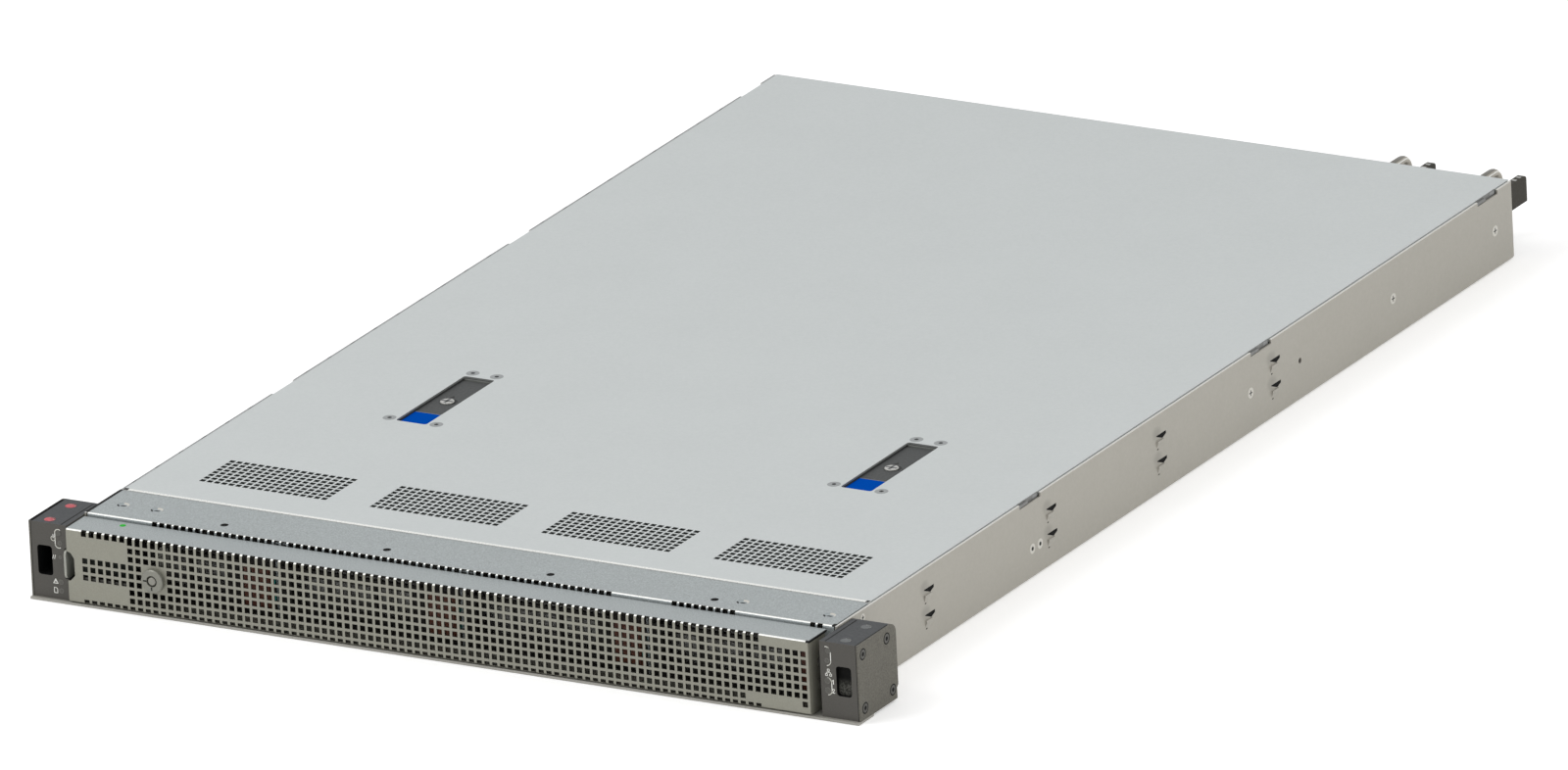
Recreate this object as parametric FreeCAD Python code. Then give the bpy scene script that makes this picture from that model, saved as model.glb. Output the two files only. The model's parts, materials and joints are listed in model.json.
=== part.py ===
"""1U rack server with a perforated locking front bezel.

Millimetres. X is across the server (+X is the right-hand side seen from the front), Y runs from the
front of the rack ears towards the rear, Z is up. The origin is under the middle of the front, on the
surface that the server stands on.
"""
import FreeCAD, Part
import math
import os

V = FreeCAD.Vector
AXIS_X = V(1, 0, 0)
AXIS_Y = V(0, 1, 0)
AXIS_Z = V(0, 0, 1)

# ---------------------------------------------------------------- driving sizes
SHEET = 1.0                   # steel sheet of the chassis and covers
BEND = 2.0                    # outside radius of the bends in the tray
CONTACT_GAP = 0.1             # between sheets that slide on each other
SIDE_GAP = 0.7                # lid edge to the inner side of a wall
SEAT_GAP = 0.2                # between parts that are pushed into place
MOVE_GAP = 0.3                # round small parts that move
PIN_FIT = 0.05                # radial play of a pin in its hole

# drive bays, which set the width of the chassis
BAYS = 4
DRIVE_WIDTH = 101.6           # 3.5 inch drive
DRIVE_DEPTH = 147.0
DRIVE_HEIGHT = 26.1
DRIVE_PLAY = 0.5              # drive to the rail of its carrier
CARRIER_RAIL = 1.8
CARRIER_PLAY = 0.4            # carrier to the dividers
CARRIER_WIDTH = DRIVE_WIDTH + 2 * (DRIVE_PLAY + CARRIER_RAIL)
BAY_PITCH = CARRIER_WIDTH + SHEET + 2 * CARRIER_PLAY
CAGE_SIDE = 3.0               # outermost bay to the outside of the chassis

# chassis and rack panel
CHASSIS_WIDTH = BAYS * BAY_PITCH + 2 * CAGE_SIDE
CHASSIS_HEIGHT = 43.2         # underside to the top of the lid
CHASSIS_REAR = 732.0          # rear face of the chassis
CHASSIS_FRONT = 18.5          # front edge of the chassis tray, behind the bezel
EAR_WIDTH = 22.3              # makes a 19 inch rack panel, 482.6 over both ears
SCREW_EDGE = 8.75             # outer edge of an ear to the rack screw, 465.1 between the two
HALF_CHASSIS = CHASSIS_WIDTH / 2
HALF_RACK = HALF_CHASSIS + EAR_WIDTH
WALL_INSIDE = HALF_CHASSIS - SHEET
LID_UNDER = CHASSIS_HEIGHT - SHEET
HALF_LID = WALL_INSIDE - SIDE_GAP
WALL_TOP = CHASSIS_HEIGHT - 0.4

SILL_THICKNESS = 1.2          # pale plate under the front
SILL_FRONT = -2.2             # also the front face of the bezel
SILL_REAR = CHASSIS_FRONT - 5.3

# ears
EAR_FRONT = 0.0
EAR_DEPTH = 39.0
EAR_TOP = CHASSIS_HEIGHT - 1.4
EAR_COVER = 1.3               # side cover plate of an ear
EAR_CORNER = 5.5              # radius of the upper rear corner
EAR_STEP_HEIGHT = 6.9         # lower rear corner is stepped in below this height
EAR_STEP = 1.4
EAR_REAR_WALL = 3.0
EAR_INSIDE = HALF_CHASSIS + SEAT_GAP
EAR_OUTSIDE = HALF_RACK - EAR_COVER
EAR_REAR = EAR_FRONT + EAR_DEPTH
WINDOW_WIDTH = 8.7
WINDOW_LOW = 13.5
WINDOW_HIGH = EAR_TOP - 12.4
WINDOW_CORNER = 1.7
WINDOW_X = HALF_RACK - SCREW_EDGE
WINDOW_Z = (WINDOW_LOW + WINDOW_HIGH) / 2
RACK_SCREW_HOLE = 3.4         # radius
EAR_SCREW_RADIUS = 2.7
EAR_SCREW_PLACES = ((5.0, EAR_TOP - 5.9), (29.4, EAR_TOP - 5.9), (5.0, 7.1), (33.4, 7.1))
PLUG_RADIUS = 2.7
PLUG_PLACES = (5.2, 26.3)
BUTTON_RADIUS = 1.6
BUTTON_X = HALF_CHASSIS + 5.1
BUTTON_Z = EAR_TOP - 4.7
BUTTON_LENGTH = 5.0
BUTTON_TRAVEL = 0.8
LED_RADIUS = 1.1
LEFT_LEDS = ((4.9, EAR_TOP - 10.1), (5.1, 10.6), (5.1, 5.9))      # from the chassis side, and height
RIGHT_LEDS = ((4.2, EAR_TOP - 10.1), (4.2, 20.7), (4.2, 15.6))

# bezel
BEZEL_LEFT = 0.8 - HALF_CHASSIS
BEZEL_RIGHT = HALF_CHASSIS - 5.25
BEZEL_FRONT = SILL_FRONT
BEZEL_BACK = BEZEL_FRONT + SHEET
BEZEL_LOW = 1.5
BEZEL_TOP = CHASSIS_HEIGHT - 1.9
BEZEL_REAR = CHASSIS_FRONT - 1.4          # rear edge of the top flange
BEZEL_FLOOR_REAR = SILL_REAR - 2.2
BEZEL_RETURN_REAR = 7.0       # rear edge of the right-hand return
BEZEL_BEND = 1.6
MESH_PITCH = 4.5              # fine mesh of the grille
MESH_HOLE = 3.0
MESH_FIRST = BEZEL_LEFT + 10.45           # centre of the first column
MESH_END = 1.0                # least steel beyond the last column
MESH_ROW = BEZEL_LOW + 19.0               # centre of the row that the lock sits on
ALL_COLUMNS = int((BEZEL_RIGHT - MESH_END - MESH_HOLE / 2 - MESH_FIRST) / MESH_PITCH) + 1
TOP_COLUMNS = ALL_COLUMNS - 6             # columns that reach over the top and bottom bends
BAND_COLUMNS = 6              # columns of two rows that are cut as one opening
ROW_COLUMNS = 6               # columns of a single row that are cut as one opening
EDGE_COLUMNS = 11             # columns of the rows over the bends that are cut as one opening
PLAIN_COLUMNS = 6             # left-hand columns left plain above and below the middle rows
LOCK_COLUMN = 9               # column that the lock sits on
LOCK_COLUMNS = (LOCK_COLUMN - 1, LOCK_COLUMN + 1)         # columns left plain round the lock
NAME_COLUMNS = (ALL_COLUMNS - 8, ALL_COLUMNS - 2)         # columns left plain in the lowest full row
NOTCH_DEPTH = 4.2
NOTCH_LOW = MESH_ROW - 7.5
NOTCH_HIGH = MESH_ROW + 8.7
NOTCH_SLOPE = 4.0

# bezel lock, release tab and hooks
LOCK_X = MESH_FIRST + MESH_PITCH * LOCK_COLUMN
LOCK_RADIUS = 6.25
LOCK_PROUD = 3.0
LOCK_BARREL = 4.75
LOCK_BARREL_END = 8.3
KEYWAY_RADIUS = 2.95
KEY_POST_RADIUS = 2.3
KEYWAY_DEPTH = 4.0
TICK = 0.6
CAM_LENGTH = 14.2
CAM_WIDTH = 6.0
CAM_THICKNESS = 1.5
TAB_LEFT = BEZEL_LEFT - 2.0
TAB_LIP = 1.2
TAB_LOW = MESH_ROW - 7.1
TAB_HIGH = MESH_ROW + 8.3
TAB_CORNER = 2.6
TAB_BAR_FRONT = 5.6
TAB_BAR = 1.6
TAB_BAR_LOW = MESH_ROW - 4.5
TAB_BAR_HIGH = MESH_ROW + 5.5
TAB_BAR_END = BEZEL_LEFT + 36.2
TAB_TRAVEL = 2.5
BRACKET_LEFT = BEZEL_LEFT + 4.6
BRACKET_RIGHT = TAB_BAR_END - 2.5
BRACKET_FOOT = 6.0
BEZEL_LED = (BEZEL_LEFT + 25.15, 12.55)
BEZEL_LED_RADIUS = 1.7
HOOK_AXIS = (HALF_CHASSIS + 1.6, 8.0)
HOOK_RADIUS = 1.4
HOOK_ARM = 1.6
HOOK_HEIGHT = 4.0
HOOK_PLACES = (13.2, 25.0)
HOOK_PLAY = 0.4

# fixed top panel in front of the lid
PANEL_TOP = CHASSIS_HEIGHT - 0.2
PANEL_REAR = CHASSIS_FRONT + 35.2
PANEL_FLANGE_LOW = PANEL_TOP - 6.5
TONGUE = 10.5
SLOT_PITCH = 4.21
SLOT_FIRST = 41.0 - HALF_CHASSIS
SLOT_WIDTH = 3.0
SLOT_LOW = PANEL_TOP - 3.4
LAST_COLUMN = int((HALF_LID - 7.0 - SLOT_FIRST) / SLOT_PITCH)
SLOT_COLUMNS = ((0, LAST_COLUMN - 29), (LAST_COLUMN - 20, LAST_COLUMN - 12), (LAST_COLUMN - 1, LAST_COLUMN))
CUT_COLUMNS = 8               # slots that are cut as one
PANEL_HOLE_PITCH = 95.2
PANEL_HOLE_Y = CHASSIS_FRONT + 10.4
PANEL_HOLE_RADIUS = 1.5
PANEL_SCREWS = ((13.2 - HALF_CHASSIS, CHASSIS_FRONT + 16.5), (33.0 - HALF_CHASSIS, CHASSIS_FRONT + 16.5),
                (HALF_CHASSIS - 61.2, CHASSIS_FRONT + 12.8), (HALF_CHASSIS - 11.2, CHASSIS_FRONT + 12.8))
SCREW_HEAD_RADIUS = 3.0
SCREW_HEAD = 0.35

# lid
LID_FRONT = PANEL_REAR + 0.5
LID_HEM = 1.2
LID_TRAVEL = 12.0
TAB_NOTCHES = (218.4, 462.2, CHASSIS_REAR - 25.6)         # centres of the notches in the walls
NOTCH_LENGTH = 21.7
WALL_NOTCH_LOW = CHASSIS_HEIGHT - 2.7
LID_TAB_LENGTH = 8.9
VENT_PITCH = 4.2
VENT_HOLE = 3.1
VENT_COLUMNS = 18
VENT_ROWS = 8
VENT_GRID_PITCH = 100.2
VENT_GRIDS = 4
VENT_FRONT = LID_FRONT + 25.7
VENT_CUT_COLUMNS = 6          # columns of the mesh that are cut as one
VENT_CUT_ROWS = 4             # rows of the mesh that are cut as one

# drive cage
CAGE_FRONT = CHASSIS_FRONT + 1.5
CARRIER_FRONT = CAGE_FRONT - CONTACT_GAP
CARRIER_FASCIA = 8.0
CARRIER_TOP = PANEL_FLANGE_LOW - 0.5
CARRIER_RAIL_TOP = 22.0
CARRIER_LIP = 1.6
DRIVE_FRONT = CARRIER_FRONT + CARRIER_FASCIA + 1.1
CAGE_REAR = DRIVE_FRONT + DRIVE_DEPTH + 4.0
LEVER_THICKNESS = 1.8
RELEASE_WIDTH = 16.3
RELEASE_RIGHT = CARRIER_WIDTH / 2 - 1.9   # right edge of the release button from the middle of a bay
RELEASE_LOW = 5.0
RELEASE_HIGH = CARRIER_TOP - 9.0
BACKPLANE = 1.6

# lid latches
LATCH_X = 130.2
LATCH_WIDTH = 17.9
LATCH_FRONT = CAGE_REAR + 16.4
LATCH_LENGTH = 70.8
LATCH_REAR = LATCH_FRONT + LATCH_LENGTH
LATCH_DEEP = 10.0
LATCH_WALL = 1.2
LATCH_CORNER = 1.5
LATCH_SUNK = 1.7              # top of the handle below the top of the lid
HANDLE_TOP = CHASSIS_HEIGHT - LATCH_SUNK
HANDLE_PLATE = 2.0
HANDLE_SKIRT = 4.5
HANDLE_SKIRT_WALL = 1.6
LATCH_HINGE_Y = LATCH_REAR - 4.2
LATCH_HINGE_Z = HANDLE_TOP - 3.5
LATCH_BARREL = 2.8
LATCH_PIN = 1.5
PAD_LENGTH = 18.7
PAD_THICKNESS = 1.7
TURN_LOCK_Y = LATCH_FRONT + 37.2
TURN_LOCK_RADIUS = 3.75
TURN_LOCK_HEAD = 0.8
TURN_LOCK_SHANK = 2.4
LATCH_SCREWS = ((-7.05, LATCH_REAR + 5.2), (7.05, LATCH_REAR + 5.2),
                (-13.8, LATCH_FRONT + 2.2), (13.8, LATCH_FRONT + 2.2))
LATCH_SCREW_RADIUS = 3.3
LATCH_FLANGE = 17.6           # half width of the latch housing's flange
LATCH_FLANGE_EDGE = 4.5       # flange beyond the screws

# side walls
RAIL_HOOKS = (112.5, 239.8, 355.3, 476.3)
RAIL_HOOK_LENGTH = 10.2
RAIL_HOOK_LEVELS = (31.7, 18.2)   # upper edge of each opening
RAIL_HOOK_DEEP = 3.0          # deepest point of the opening below that edge
RAIL_HOOK_END = 1.6           # height of the opening at its rear end
RAIL_HOOK_WIDTH = 6.4         # pressed-out strip under the opening
RAIL_HOOK_DROP = 3.6
RAIL_HOOK_PROUD = 0.9
RAIL_HOLE = (502.3, 21.3)
RAIL_HOLE_RADIUS = 1.5
WALL_SCREWS = ((449.5, 21.5), (602.3, 21.5), (CHASSIS_REAR - 19.0, 21.5), (218.8, 15.8), (226.8, 15.8),
               (CHASSIS_FRONT + 26.5, WALL_TOP - 4.3))

# fans
FANS = 6
FAN_PITCH = (CHASSIS_WIDTH - 6.0) / FANS
FAN_FLOOR = 2 * SHEET
FAN_SIZE = LID_UNDER - SEAT_GAP - FAN_FLOOR
FAN_LENGTH = 56.0
FAN_TRAY_FRONT = LATCH_SCREWS[0][1] + LATCH_FLANGE_EDGE + LID_TRAVEL + 1.1
FAN_FRONT = FAN_TRAY_FRONT + SHEET + SEAT_GAP
FAN_REAR = FAN_FRONT + FAN_LENGTH
FAN_Z = FAN_FLOOR + FAN_SIZE / 2
FAN_BORE = FAN_SIZE / 2 - 1.1
FAN_TIP_GAP = 0.6
FAN_HUB = 10.5
FAN_BLADES = 5
FAN_BLADE_CHORD = 24.0
FAN_BLADE_PITCH = 35.0        # degrees
FAN_BLADE = 1.4
FAN_SHAFT = 1.5

# power supplies
PSU_WIDTH = 52.6
PSU_PITCH = 53.4
PSU_RIGHT = HALF_CHASSIS - 2.1
PSU_FLOOR = SHEET + MOVE_GAP
PSU_HEIGHT = LID_UNDER - LID_HEM - MOVE_GAP - PSU_FLOOR
PSU_FRONT = CHASSIS_REAR - 185.0
PSU_PROUD = 0.5
PSU_REAR = CHASSIS_REAR + PSU_PROUD
PSU_LEFTS = (PSU_RIGHT - PSU_WIDTH - PSU_PITCH, PSU_RIGHT - PSU_WIDTH)
INLET_WIDTH = 27.4
INLET_HEIGHT = 19.6
INLET_OFFSET = 2.8            # left edge of the power supply to the inlet
INLET_DEPTH = 15.0
BAIL_OFFSET = 32.7            # left edge of the power supply to the middle of the handle
BAIL_WIDTH = 6.0
BAIL_BAR = 4.0
BAIL_LOW = PSU_FLOOR + 5.4
BAIL_HIGH = PSU_FLOOR + PSU_HEIGHT - 1.2
BAIL_REACH = 27.0
BAIL_CORNER = 8.0
BAIL_PIVOT = 4.5              # hinge axis behind the rear face
BAIL_PIN = 1.5
BAIL_LUG = 3.4
CATCH_WIDTH = 4.0
CATCH_REACH = 20.7
CATCH_HIGH = BAIL_HIGH - 1.4
CATCH_LOW = CATCH_HIGH - 13.7

# electronics
BOARD_LEFT = 5.0 - HALF_CHASSIS
BOARD_RIGHT = PSU_LEFTS[0] - 6.9
BOARD_FRONT = FAN_REAR + 10.8
BOARD_REAR = CHASSIS_REAR - 6.0
BOARD_LOW = 6.0
BOARD = 1.6
BOARD_TOP = BOARD_LOW + BOARD
HEADROOM = 4.2                # top of the cards and coolers below the lid
STANDOFF_RADIUS = 3.0
MEMORY_PER_SIDE = 4
MEMORY_PITCH = 7.5
MEMORY_THICKNESS = 1.4
MEMORY_LENGTH = 133.3
MEMORY_TOP = LID_UNDER - 2.2
SOCKET_HEIGHT = 4.4
PROCESSOR_PITCH = (BOARD_RIGHT - BOARD_LEFT) / 2 + 1
PROCESSOR_Y = BOARD_FRONT + MEMORY_LENGTH / 2 + 5.35
COOLER_WIDTH = PROCESSOR_PITCH - 2 * (MEMORY_PER_SIDE * MEMORY_PITCH + 11.0)
COOLER_LENGTH = 108.0
COOLER_TOP = LID_UNDER - HEADROOM
COOLER_FINS = 10
EXPANSION_LEFT = 15.0 - HALF_CHASSIS      # opening for the expansion card in the rear panel
EXPANSION_RIGHT = EXPANSION_LEFT + 110.0
EXPANSION_LOW = 20.0
EXPANSION_HIGH = LID_UNDER - 3.6
EXPANSION_FRONT = CHASSIS_REAR - 142.0
PORT_DEPTH = 20.0
PORTS = (                     # kind, middle from the right edge of the board, width, height
    ("network", 16.0, 16.0, 13.5), ("network", 34.0, 16.0, 13.5), ("network", 56.0, 16.0, 13.5),
    ("usb", 77.0, 14.4, 7.2), ("usb", 94.0, 14.4, 7.2), ("display", 124.0, 31.0, 12.6))
REAR_MESH_PITCH = 14.0
REAR_MESH_WIDTH = 12.0
REAR_MESH_HEIGHT = 7.2
PRISM_BORE = 1 / math.cos(math.pi / 12)   # corner radius of a twelve-sided hole to the radius of its flats


# ---------------------------------------------------------------- helpers
def box(x0, x1, y0, y1, z0, z1):
    return Part.makeBox(x1 - x0, y1 - y0, z1 - z0, V(x0, y0, z0))


def mirrored_boxes(x0, x1, y0, y1, z0, z1):
    return [box(x0, x1, y0, y1, z0, z1), box(-x1, -x0, y0, y1, z0, z1)]


def rod(start, end, radius):
    along = V(*end) - V(*start)
    return Part.makeCylinder(radius, along.Length, V(*start), along)


def prism(start, end, radius, sides=12):
    """Regular prism in place of a small rod that repeats, to keep the model light."""
    along = V(*end) - V(*start)
    across = AXIS_Z if abs(along.z) < 1e-6 else AXIS_X
    other = along.cross(across)
    other.normalize()
    corners = []
    for n in range(sides):
        turn = 2 * math.pi * (n + 0.5) / sides
        corners.append(V(*start) + across * (radius * math.cos(turn)) + other * (radius * math.sin(turn)))
    return Part.Face(Part.makePolygon(corners + corners[:1])).extrude(along)


def extrude(points, along):
    corners = [V(*p) for p in points]
    return Part.Face(Part.makePolygon(corners + corners[:1])).extrude(along)


def extrude_x(yz, x0, x1):
    return extrude([(x0, y, z) for y, z in yz], AXIS_X * (x1 - x0))


def extrude_y(xz, y0, y1):
    return extrude([(x, y0, z) for x, z in xz], AXIS_Y * (y1 - y0))


def extrude_z(xy, z0, z1):
    return extrude([(x, y, z0) for x, y in xy], AXIS_Z * (z1 - z0))


def parallel_edges(shape, direction, test):
    """Straight edges along a direction whose middle passes the test."""
    found = []
    for edge in shape.Edges:
        if not isinstance(edge.Curve, Part.Line):
            continue
        if abs(abs(edge.Curve.Direction.dot(direction)) - 1) > 1e-6:
            continue
        if test(edge.CenterOfMass):
            found.append(edge)
    return found


def fillet(shape, radius, direction, test=lambda p: True):
    return shape.makeFillet(radius, parallel_edges(shape, direction, test))


def join(parts):
    return parts[0].multiFuse(parts[1:]).removeSplitter() if len(parts) > 1 else parts[0]


def mirror_x(shape):
    return shape.mirror(V(0, 0, 0), AXIS_X)


def group(parts):
    return Part.makeCompound(parts)


def hexagon_z(x, y, radius, z0, z1):
    corners = [(x + radius * math.cos(math.radians(60 * n)), y + radius * math.sin(math.radians(60 * n)))
               for n in range(6)]
    return extrude_z(corners, z0, z1)


def spread(count, pitch, middle=0.0):
    """Centres of a row of equally spaced things."""
    return [middle + (n - (count - 1) / 2) * pitch for n in range(count)]


def runs_without(first, last, gap=None):
    """Runs of columns from first to last that skip the columns of gap."""
    if gap is None:
        return [(first, last)]
    return [run for run in ((first, gap[0] - 1), (gap[1] + 1, last)) if run[0] <= run[1]]


def grouped(run, size):
    """Cut a run of columns into groups of at most size columns."""
    first, last = run
    return [(n, min(n + size - 1, last)) for n in range(first, last + 1, size)]


BAY_CENTRES = spread(BAYS, BAY_PITCH)
FAN_CENTRES = spread(FANS, FAN_PITCH)
PROCESSOR_CENTRES = spread(2, PROCESSOR_PITCH, (BOARD_LEFT + BOARD_RIGHT) / 2)


# ---------------------------------------------------------------- chassis
def chassis_tray():
    tray = box(-HALF_CHASSIS, HALF_CHASSIS, CHASSIS_FRONT, CHASSIS_REAR, 0, WALL_TOP)
    tray = fillet(tray, BEND, AXIS_Y, lambda p: p.z < 1)
    room = box(-WALL_INSIDE, WALL_INSIDE, CHASSIS_FRONT - 1, CHASSIS_REAR + 1, SHEET, WALL_TOP + 1)
    room = fillet(room, BEND - SHEET, AXIS_Y, lambda p: p.z < SHEET + 1)
    cuts = [room]
    for y in TAB_NOTCHES:
        cuts.append(box(-HALF_CHASSIS - 1, HALF_CHASSIS + 1, y - NOTCH_LENGTH / 2, y + NOTCH_LENGTH / 2,
                        WALL_NOTCH_LOW, WALL_TOP + 1))
    hole_y, hole_z = RAIL_HOLE
    outside = HALF_CHASSIS + 1
    cuts.append(rod((-outside, hole_y, hole_z), (outside, hole_y, hole_z), RAIL_HOLE_RADIUS))
    bridges = []
    for y in RAIL_HOOKS:
        y0 = y - RAIL_HOOK_LENGTH / 2
        y1, y2 = y0 + RAIL_HOOK_WIDTH, y0 + RAIL_HOOK_LENGTH
        for high in RAIL_HOOK_LEVELS:
            low = high - RAIL_HOOK_DEEP
            opening = [(y0, high), (y0, high - 0.4), (y1, low), (y2, high - RAIL_HOOK_END), (y2, high)]
            cuts.append(extrude_x(opening, -HALF_CHASSIS - 1, HALF_CHASSIS + 1))
            bridge = extrude_y([(HALF_CHASSIS, low - RAIL_HOOK_DROP),
                                (HALF_CHASSIS + RAIL_HOOK_PROUD, low - SHEET),
                                (HALF_CHASSIS + RAIL_HOOK_PROUD, low), (HALF_CHASSIS, low)], y0, y1)
            bridges += [bridge, mirror_x(bridge)]
    standoffs = [hexagon_z(x, y, STANDOFF_RADIUS, SHEET, BOARD_LOW)
                 for x in (BOARD_LEFT + 8, (BOARD_LEFT + BOARD_RIGHT) / 2, BOARD_RIGHT - 8)
                 for y in (BOARD_FRONT + 8, (BOARD_FRONT + BOARD_REAR) / 2, BOARD_REAR - 8)]
    return join([tray.cut(group(cuts))] + bridges + standoffs)


def front_sill_plate():
    return extrude_z([(-HALF_RACK, SILL_FRONT), (HALF_RACK, SILL_FRONT), (HALF_RACK, SILL_REAR),
                      (WALL_INSIDE, SILL_REAR), (WALL_INSIDE, CHASSIS_FRONT), (-WALL_INSIDE, CHASSIS_FRONT),
                      (-WALL_INSIDE, SILL_REAR), (-HALF_RACK, SILL_REAR)], 0, SILL_THICKNESS)


def front_top_panel():
    panel = box(-HALF_LID, HALF_LID, CHASSIS_FRONT, PANEL_REAR, PANEL_FLANGE_LOW, PANEL_TOP)
    panel = fillet(panel, BEND - 0.6, AXIS_X, lambda p: p.y < CHASSIS_FRONT + 1 and p.z > PANEL_TOP - 1)
    room = box(-HALF_LID - 1, HALF_LID + 1, CHASSIS_FRONT + SHEET, PANEL_REAR + 1,
               PANEL_FLANGE_LOW - 1, PANEL_TOP - SHEET)
    tongue_top = LID_UNDER - CONTACT_GAP
    tongue = box(-HALF_LID + 1.8, HALF_LID - 1.8, PANEL_REAR - SHEET, PANEL_REAR + TONGUE,
                 tongue_top - SHEET, tongue_top)
    cuts = []
    for run in SLOT_COLUMNS:
        for first, last in grouped(run, CUT_COLUMNS):
            x0 = SLOT_FIRST + SLOT_PITCH * first - SLOT_WIDTH / 2
            x1 = SLOT_FIRST + SLOT_PITCH * last + SLOT_WIDTH / 2
            cuts.append(box(x0, x1, CHASSIS_FRONT - 1, CHASSIS_FRONT + BEND, SLOT_LOW, PANEL_TOP + 1))
    for x in spread(4, PANEL_HOLE_PITCH):
        cuts.append(prism((x, PANEL_HOLE_Y, PANEL_TOP - 3), (x, PANEL_HOLE_Y, PANEL_TOP + 1),
                          PANEL_HOLE_RADIUS))
    return join([panel.cut(room), tongue]).cut(group(cuts))


def front_panel_screws():
    return group([prism((x, y, PANEL_TOP), (x, y, PANEL_TOP + SCREW_HEAD), SCREW_HEAD_RADIUS)
                  for x, y in PANEL_SCREWS])


def wall_fasteners():
    heads = []
    for y, z in WALL_SCREWS:
        for side in (-1, 1):
            heads.append(prism((side * HALF_CHASSIS, y, z), (side * (HALF_CHASSIS + SCREW_HEAD), y, z),
                               SCREW_HEAD_RADIUS - 0.4, sides=8))
    return group(heads)


def rear_panel():
    front = CHASSIS_REAR - SHEET
    half = WALL_INSIDE - CONTACT_GAP
    low = SHEET + CONTACT_GAP
    top = LID_UNDER - CONTACT_GAP
    panel = extrude_y([(-half, top), (-half, low + SHEET), (-half + SHEET, low), (half - SHEET, low),
                       (half, low + SHEET), (half, top)], front, CHASSIS_REAR)

    def opening(x0, x1, z0, z1):
        return box(x0, x1, front - 1, CHASSIS_REAR + 1, z0, z1)

    cuts = [opening(PSU_LEFTS[0] - MOVE_GAP, PSU_RIGHT + MOVE_GAP, 0, PSU_FLOOR + PSU_HEIGHT + MOVE_GAP)]
    for kind, inset, width, height in PORTS:
        x = BOARD_RIGHT - inset
        cuts.append(opening(x - width / 2 - SEAT_GAP, x + width / 2 + SEAT_GAP,
                            BOARD_TOP - SEAT_GAP, BOARD_TOP + height + SEAT_GAP))
    cuts.append(opening(EXPANSION_LEFT, EXPANSION_RIGHT, EXPANSION_LOW, EXPANSION_HIGH))
    half_hole = REAR_MESH_WIDTH / 2
    for x in spread(8, REAR_MESH_PITCH, (EXPANSION_LEFT + EXPANSION_RIGHT) / 2):
        cuts.append(opening(x - half_hole, x + half_hole, 8.0, 8.0 + REAR_MESH_HEIGHT))
    mesh_low = EXPANSION_HIGH - 11.6
    for x in spread(12, REAR_MESH_PITCH, (EXPANSION_RIGHT + PSU_LEFTS[0]) / 2):
        cuts.append(opening(x - half_hole, x + half_hole, mesh_low, mesh_low + REAR_MESH_HEIGHT))
    return panel.cut(group(cuts))


# ---------------------------------------------------------------- drive cage
def drive_cage_dividers():
    joggle = LID_UNDER - LID_HEM - MOVE_GAP
    panel_low = PANEL_TOP - SHEET
    walls = []
    outer = WALL_INSIDE - CONTACT_GAP - SHEET
    lefts = [-outer - SHEET] + [x + BAY_PITCH / 2 - SHEET / 2 for x in BAY_CENTRES[:-1]] + [outer]
    for x in lefts:
        low = BEND if x in (lefts[0], lefts[-1]) else SHEET
        outline = [(CAGE_FRONT, low), (CAGE_REAR, low), (CAGE_REAR, joggle), (PANEL_REAR - SHEET, joggle),
                   (PANEL_REAR - SHEET, panel_low), (CAGE_FRONT, panel_low)]
        flange_x0 = x - 7 if x == lefts[-1] else x + SHEET
        flange = box(flange_x0, flange_x0 + 7, CAGE_FRONT, PANEL_REAR - SHEET, panel_low - SHEET, panel_low)
        walls.append(join([extrude_x(outline, x, x + SHEET), flange]))
    return group(walls)


def drive_carrier(x):
    low = SHEET + SEAT_GAP
    half = CARRIER_WIDTH / 2
    fascia_back = CARRIER_FRONT + CARRIER_FASCIA
    drive_rear = DRIVE_FRONT + DRIVE_DEPTH
    fascia = box(x - half, x + half, CARRIER_FRONT, fascia_back, low, CARRIER_TOP)
    windows = [box(x - half + 4, x + half - 23, CARRIER_FRONT - 1, fascia_back + 1, 6, CARRIER_TOP - 5),
               box(x + RELEASE_RIGHT - RELEASE_WIDTH - MOVE_GAP, x + RELEASE_RIGHT + MOVE_GAP,
                   CARRIER_FRONT - 1, fascia_back - 2, RELEASE_LOW - MOVE_GAP, RELEASE_HIGH + MOVE_GAP)]
    parts = [fascia.cut(group(windows))]
    for side in (-1, 1):
        outer = x + side * half
        inner = outer - side * CARRIER_RAIL
        lip = inner - side * 3
        parts.append(box(min(outer, inner), max(outer, inner), fascia_back, drive_rear, low,
                         CARRIER_RAIL_TOP))
        parts.append(box(min(lip, inner), max(lip, inner), fascia_back, drive_rear, low, low + CARRIER_LIP))
    parts.append(box(x - half, x + half, drive_rear - 8, drive_rear, low, low + CARRIER_LIP))
    return join(parts)


def carrier_lever(x):
    front = CARRIER_FRONT - CONTACT_GAP - LEVER_THICKNESS
    left, right = x - CARRIER_WIDTH / 2 + 2, x + CARRIER_WIDTH / 2 - 20
    plate = box(left, right, front, front + LEVER_THICKNESS, 7, CARRIER_TOP - 6)
    slots = [box(u - 10.5, u + 10.5, front - 1, front + LEVER_THICKNESS + 1, 11, CARRIER_TOP - 10)
             for u in spread(3, 25.0, (left + right) / 2)]
    return plate.cut(group(slots))


def carrier_release_button(x):
    right = x + RELEASE_RIGHT
    front = CARRIER_FRONT - 2.2
    left = right - RELEASE_WIDTH
    back = CARRIER_FRONT + CARRIER_FASCIA - 2 - SEAT_GAP
    return extrude_z([(left, front + 1), (left + 1, front), (right - 1, front), (right, front + 1),
                      (right, back), (left, back)], RELEASE_LOW, RELEASE_HIGH)


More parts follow.
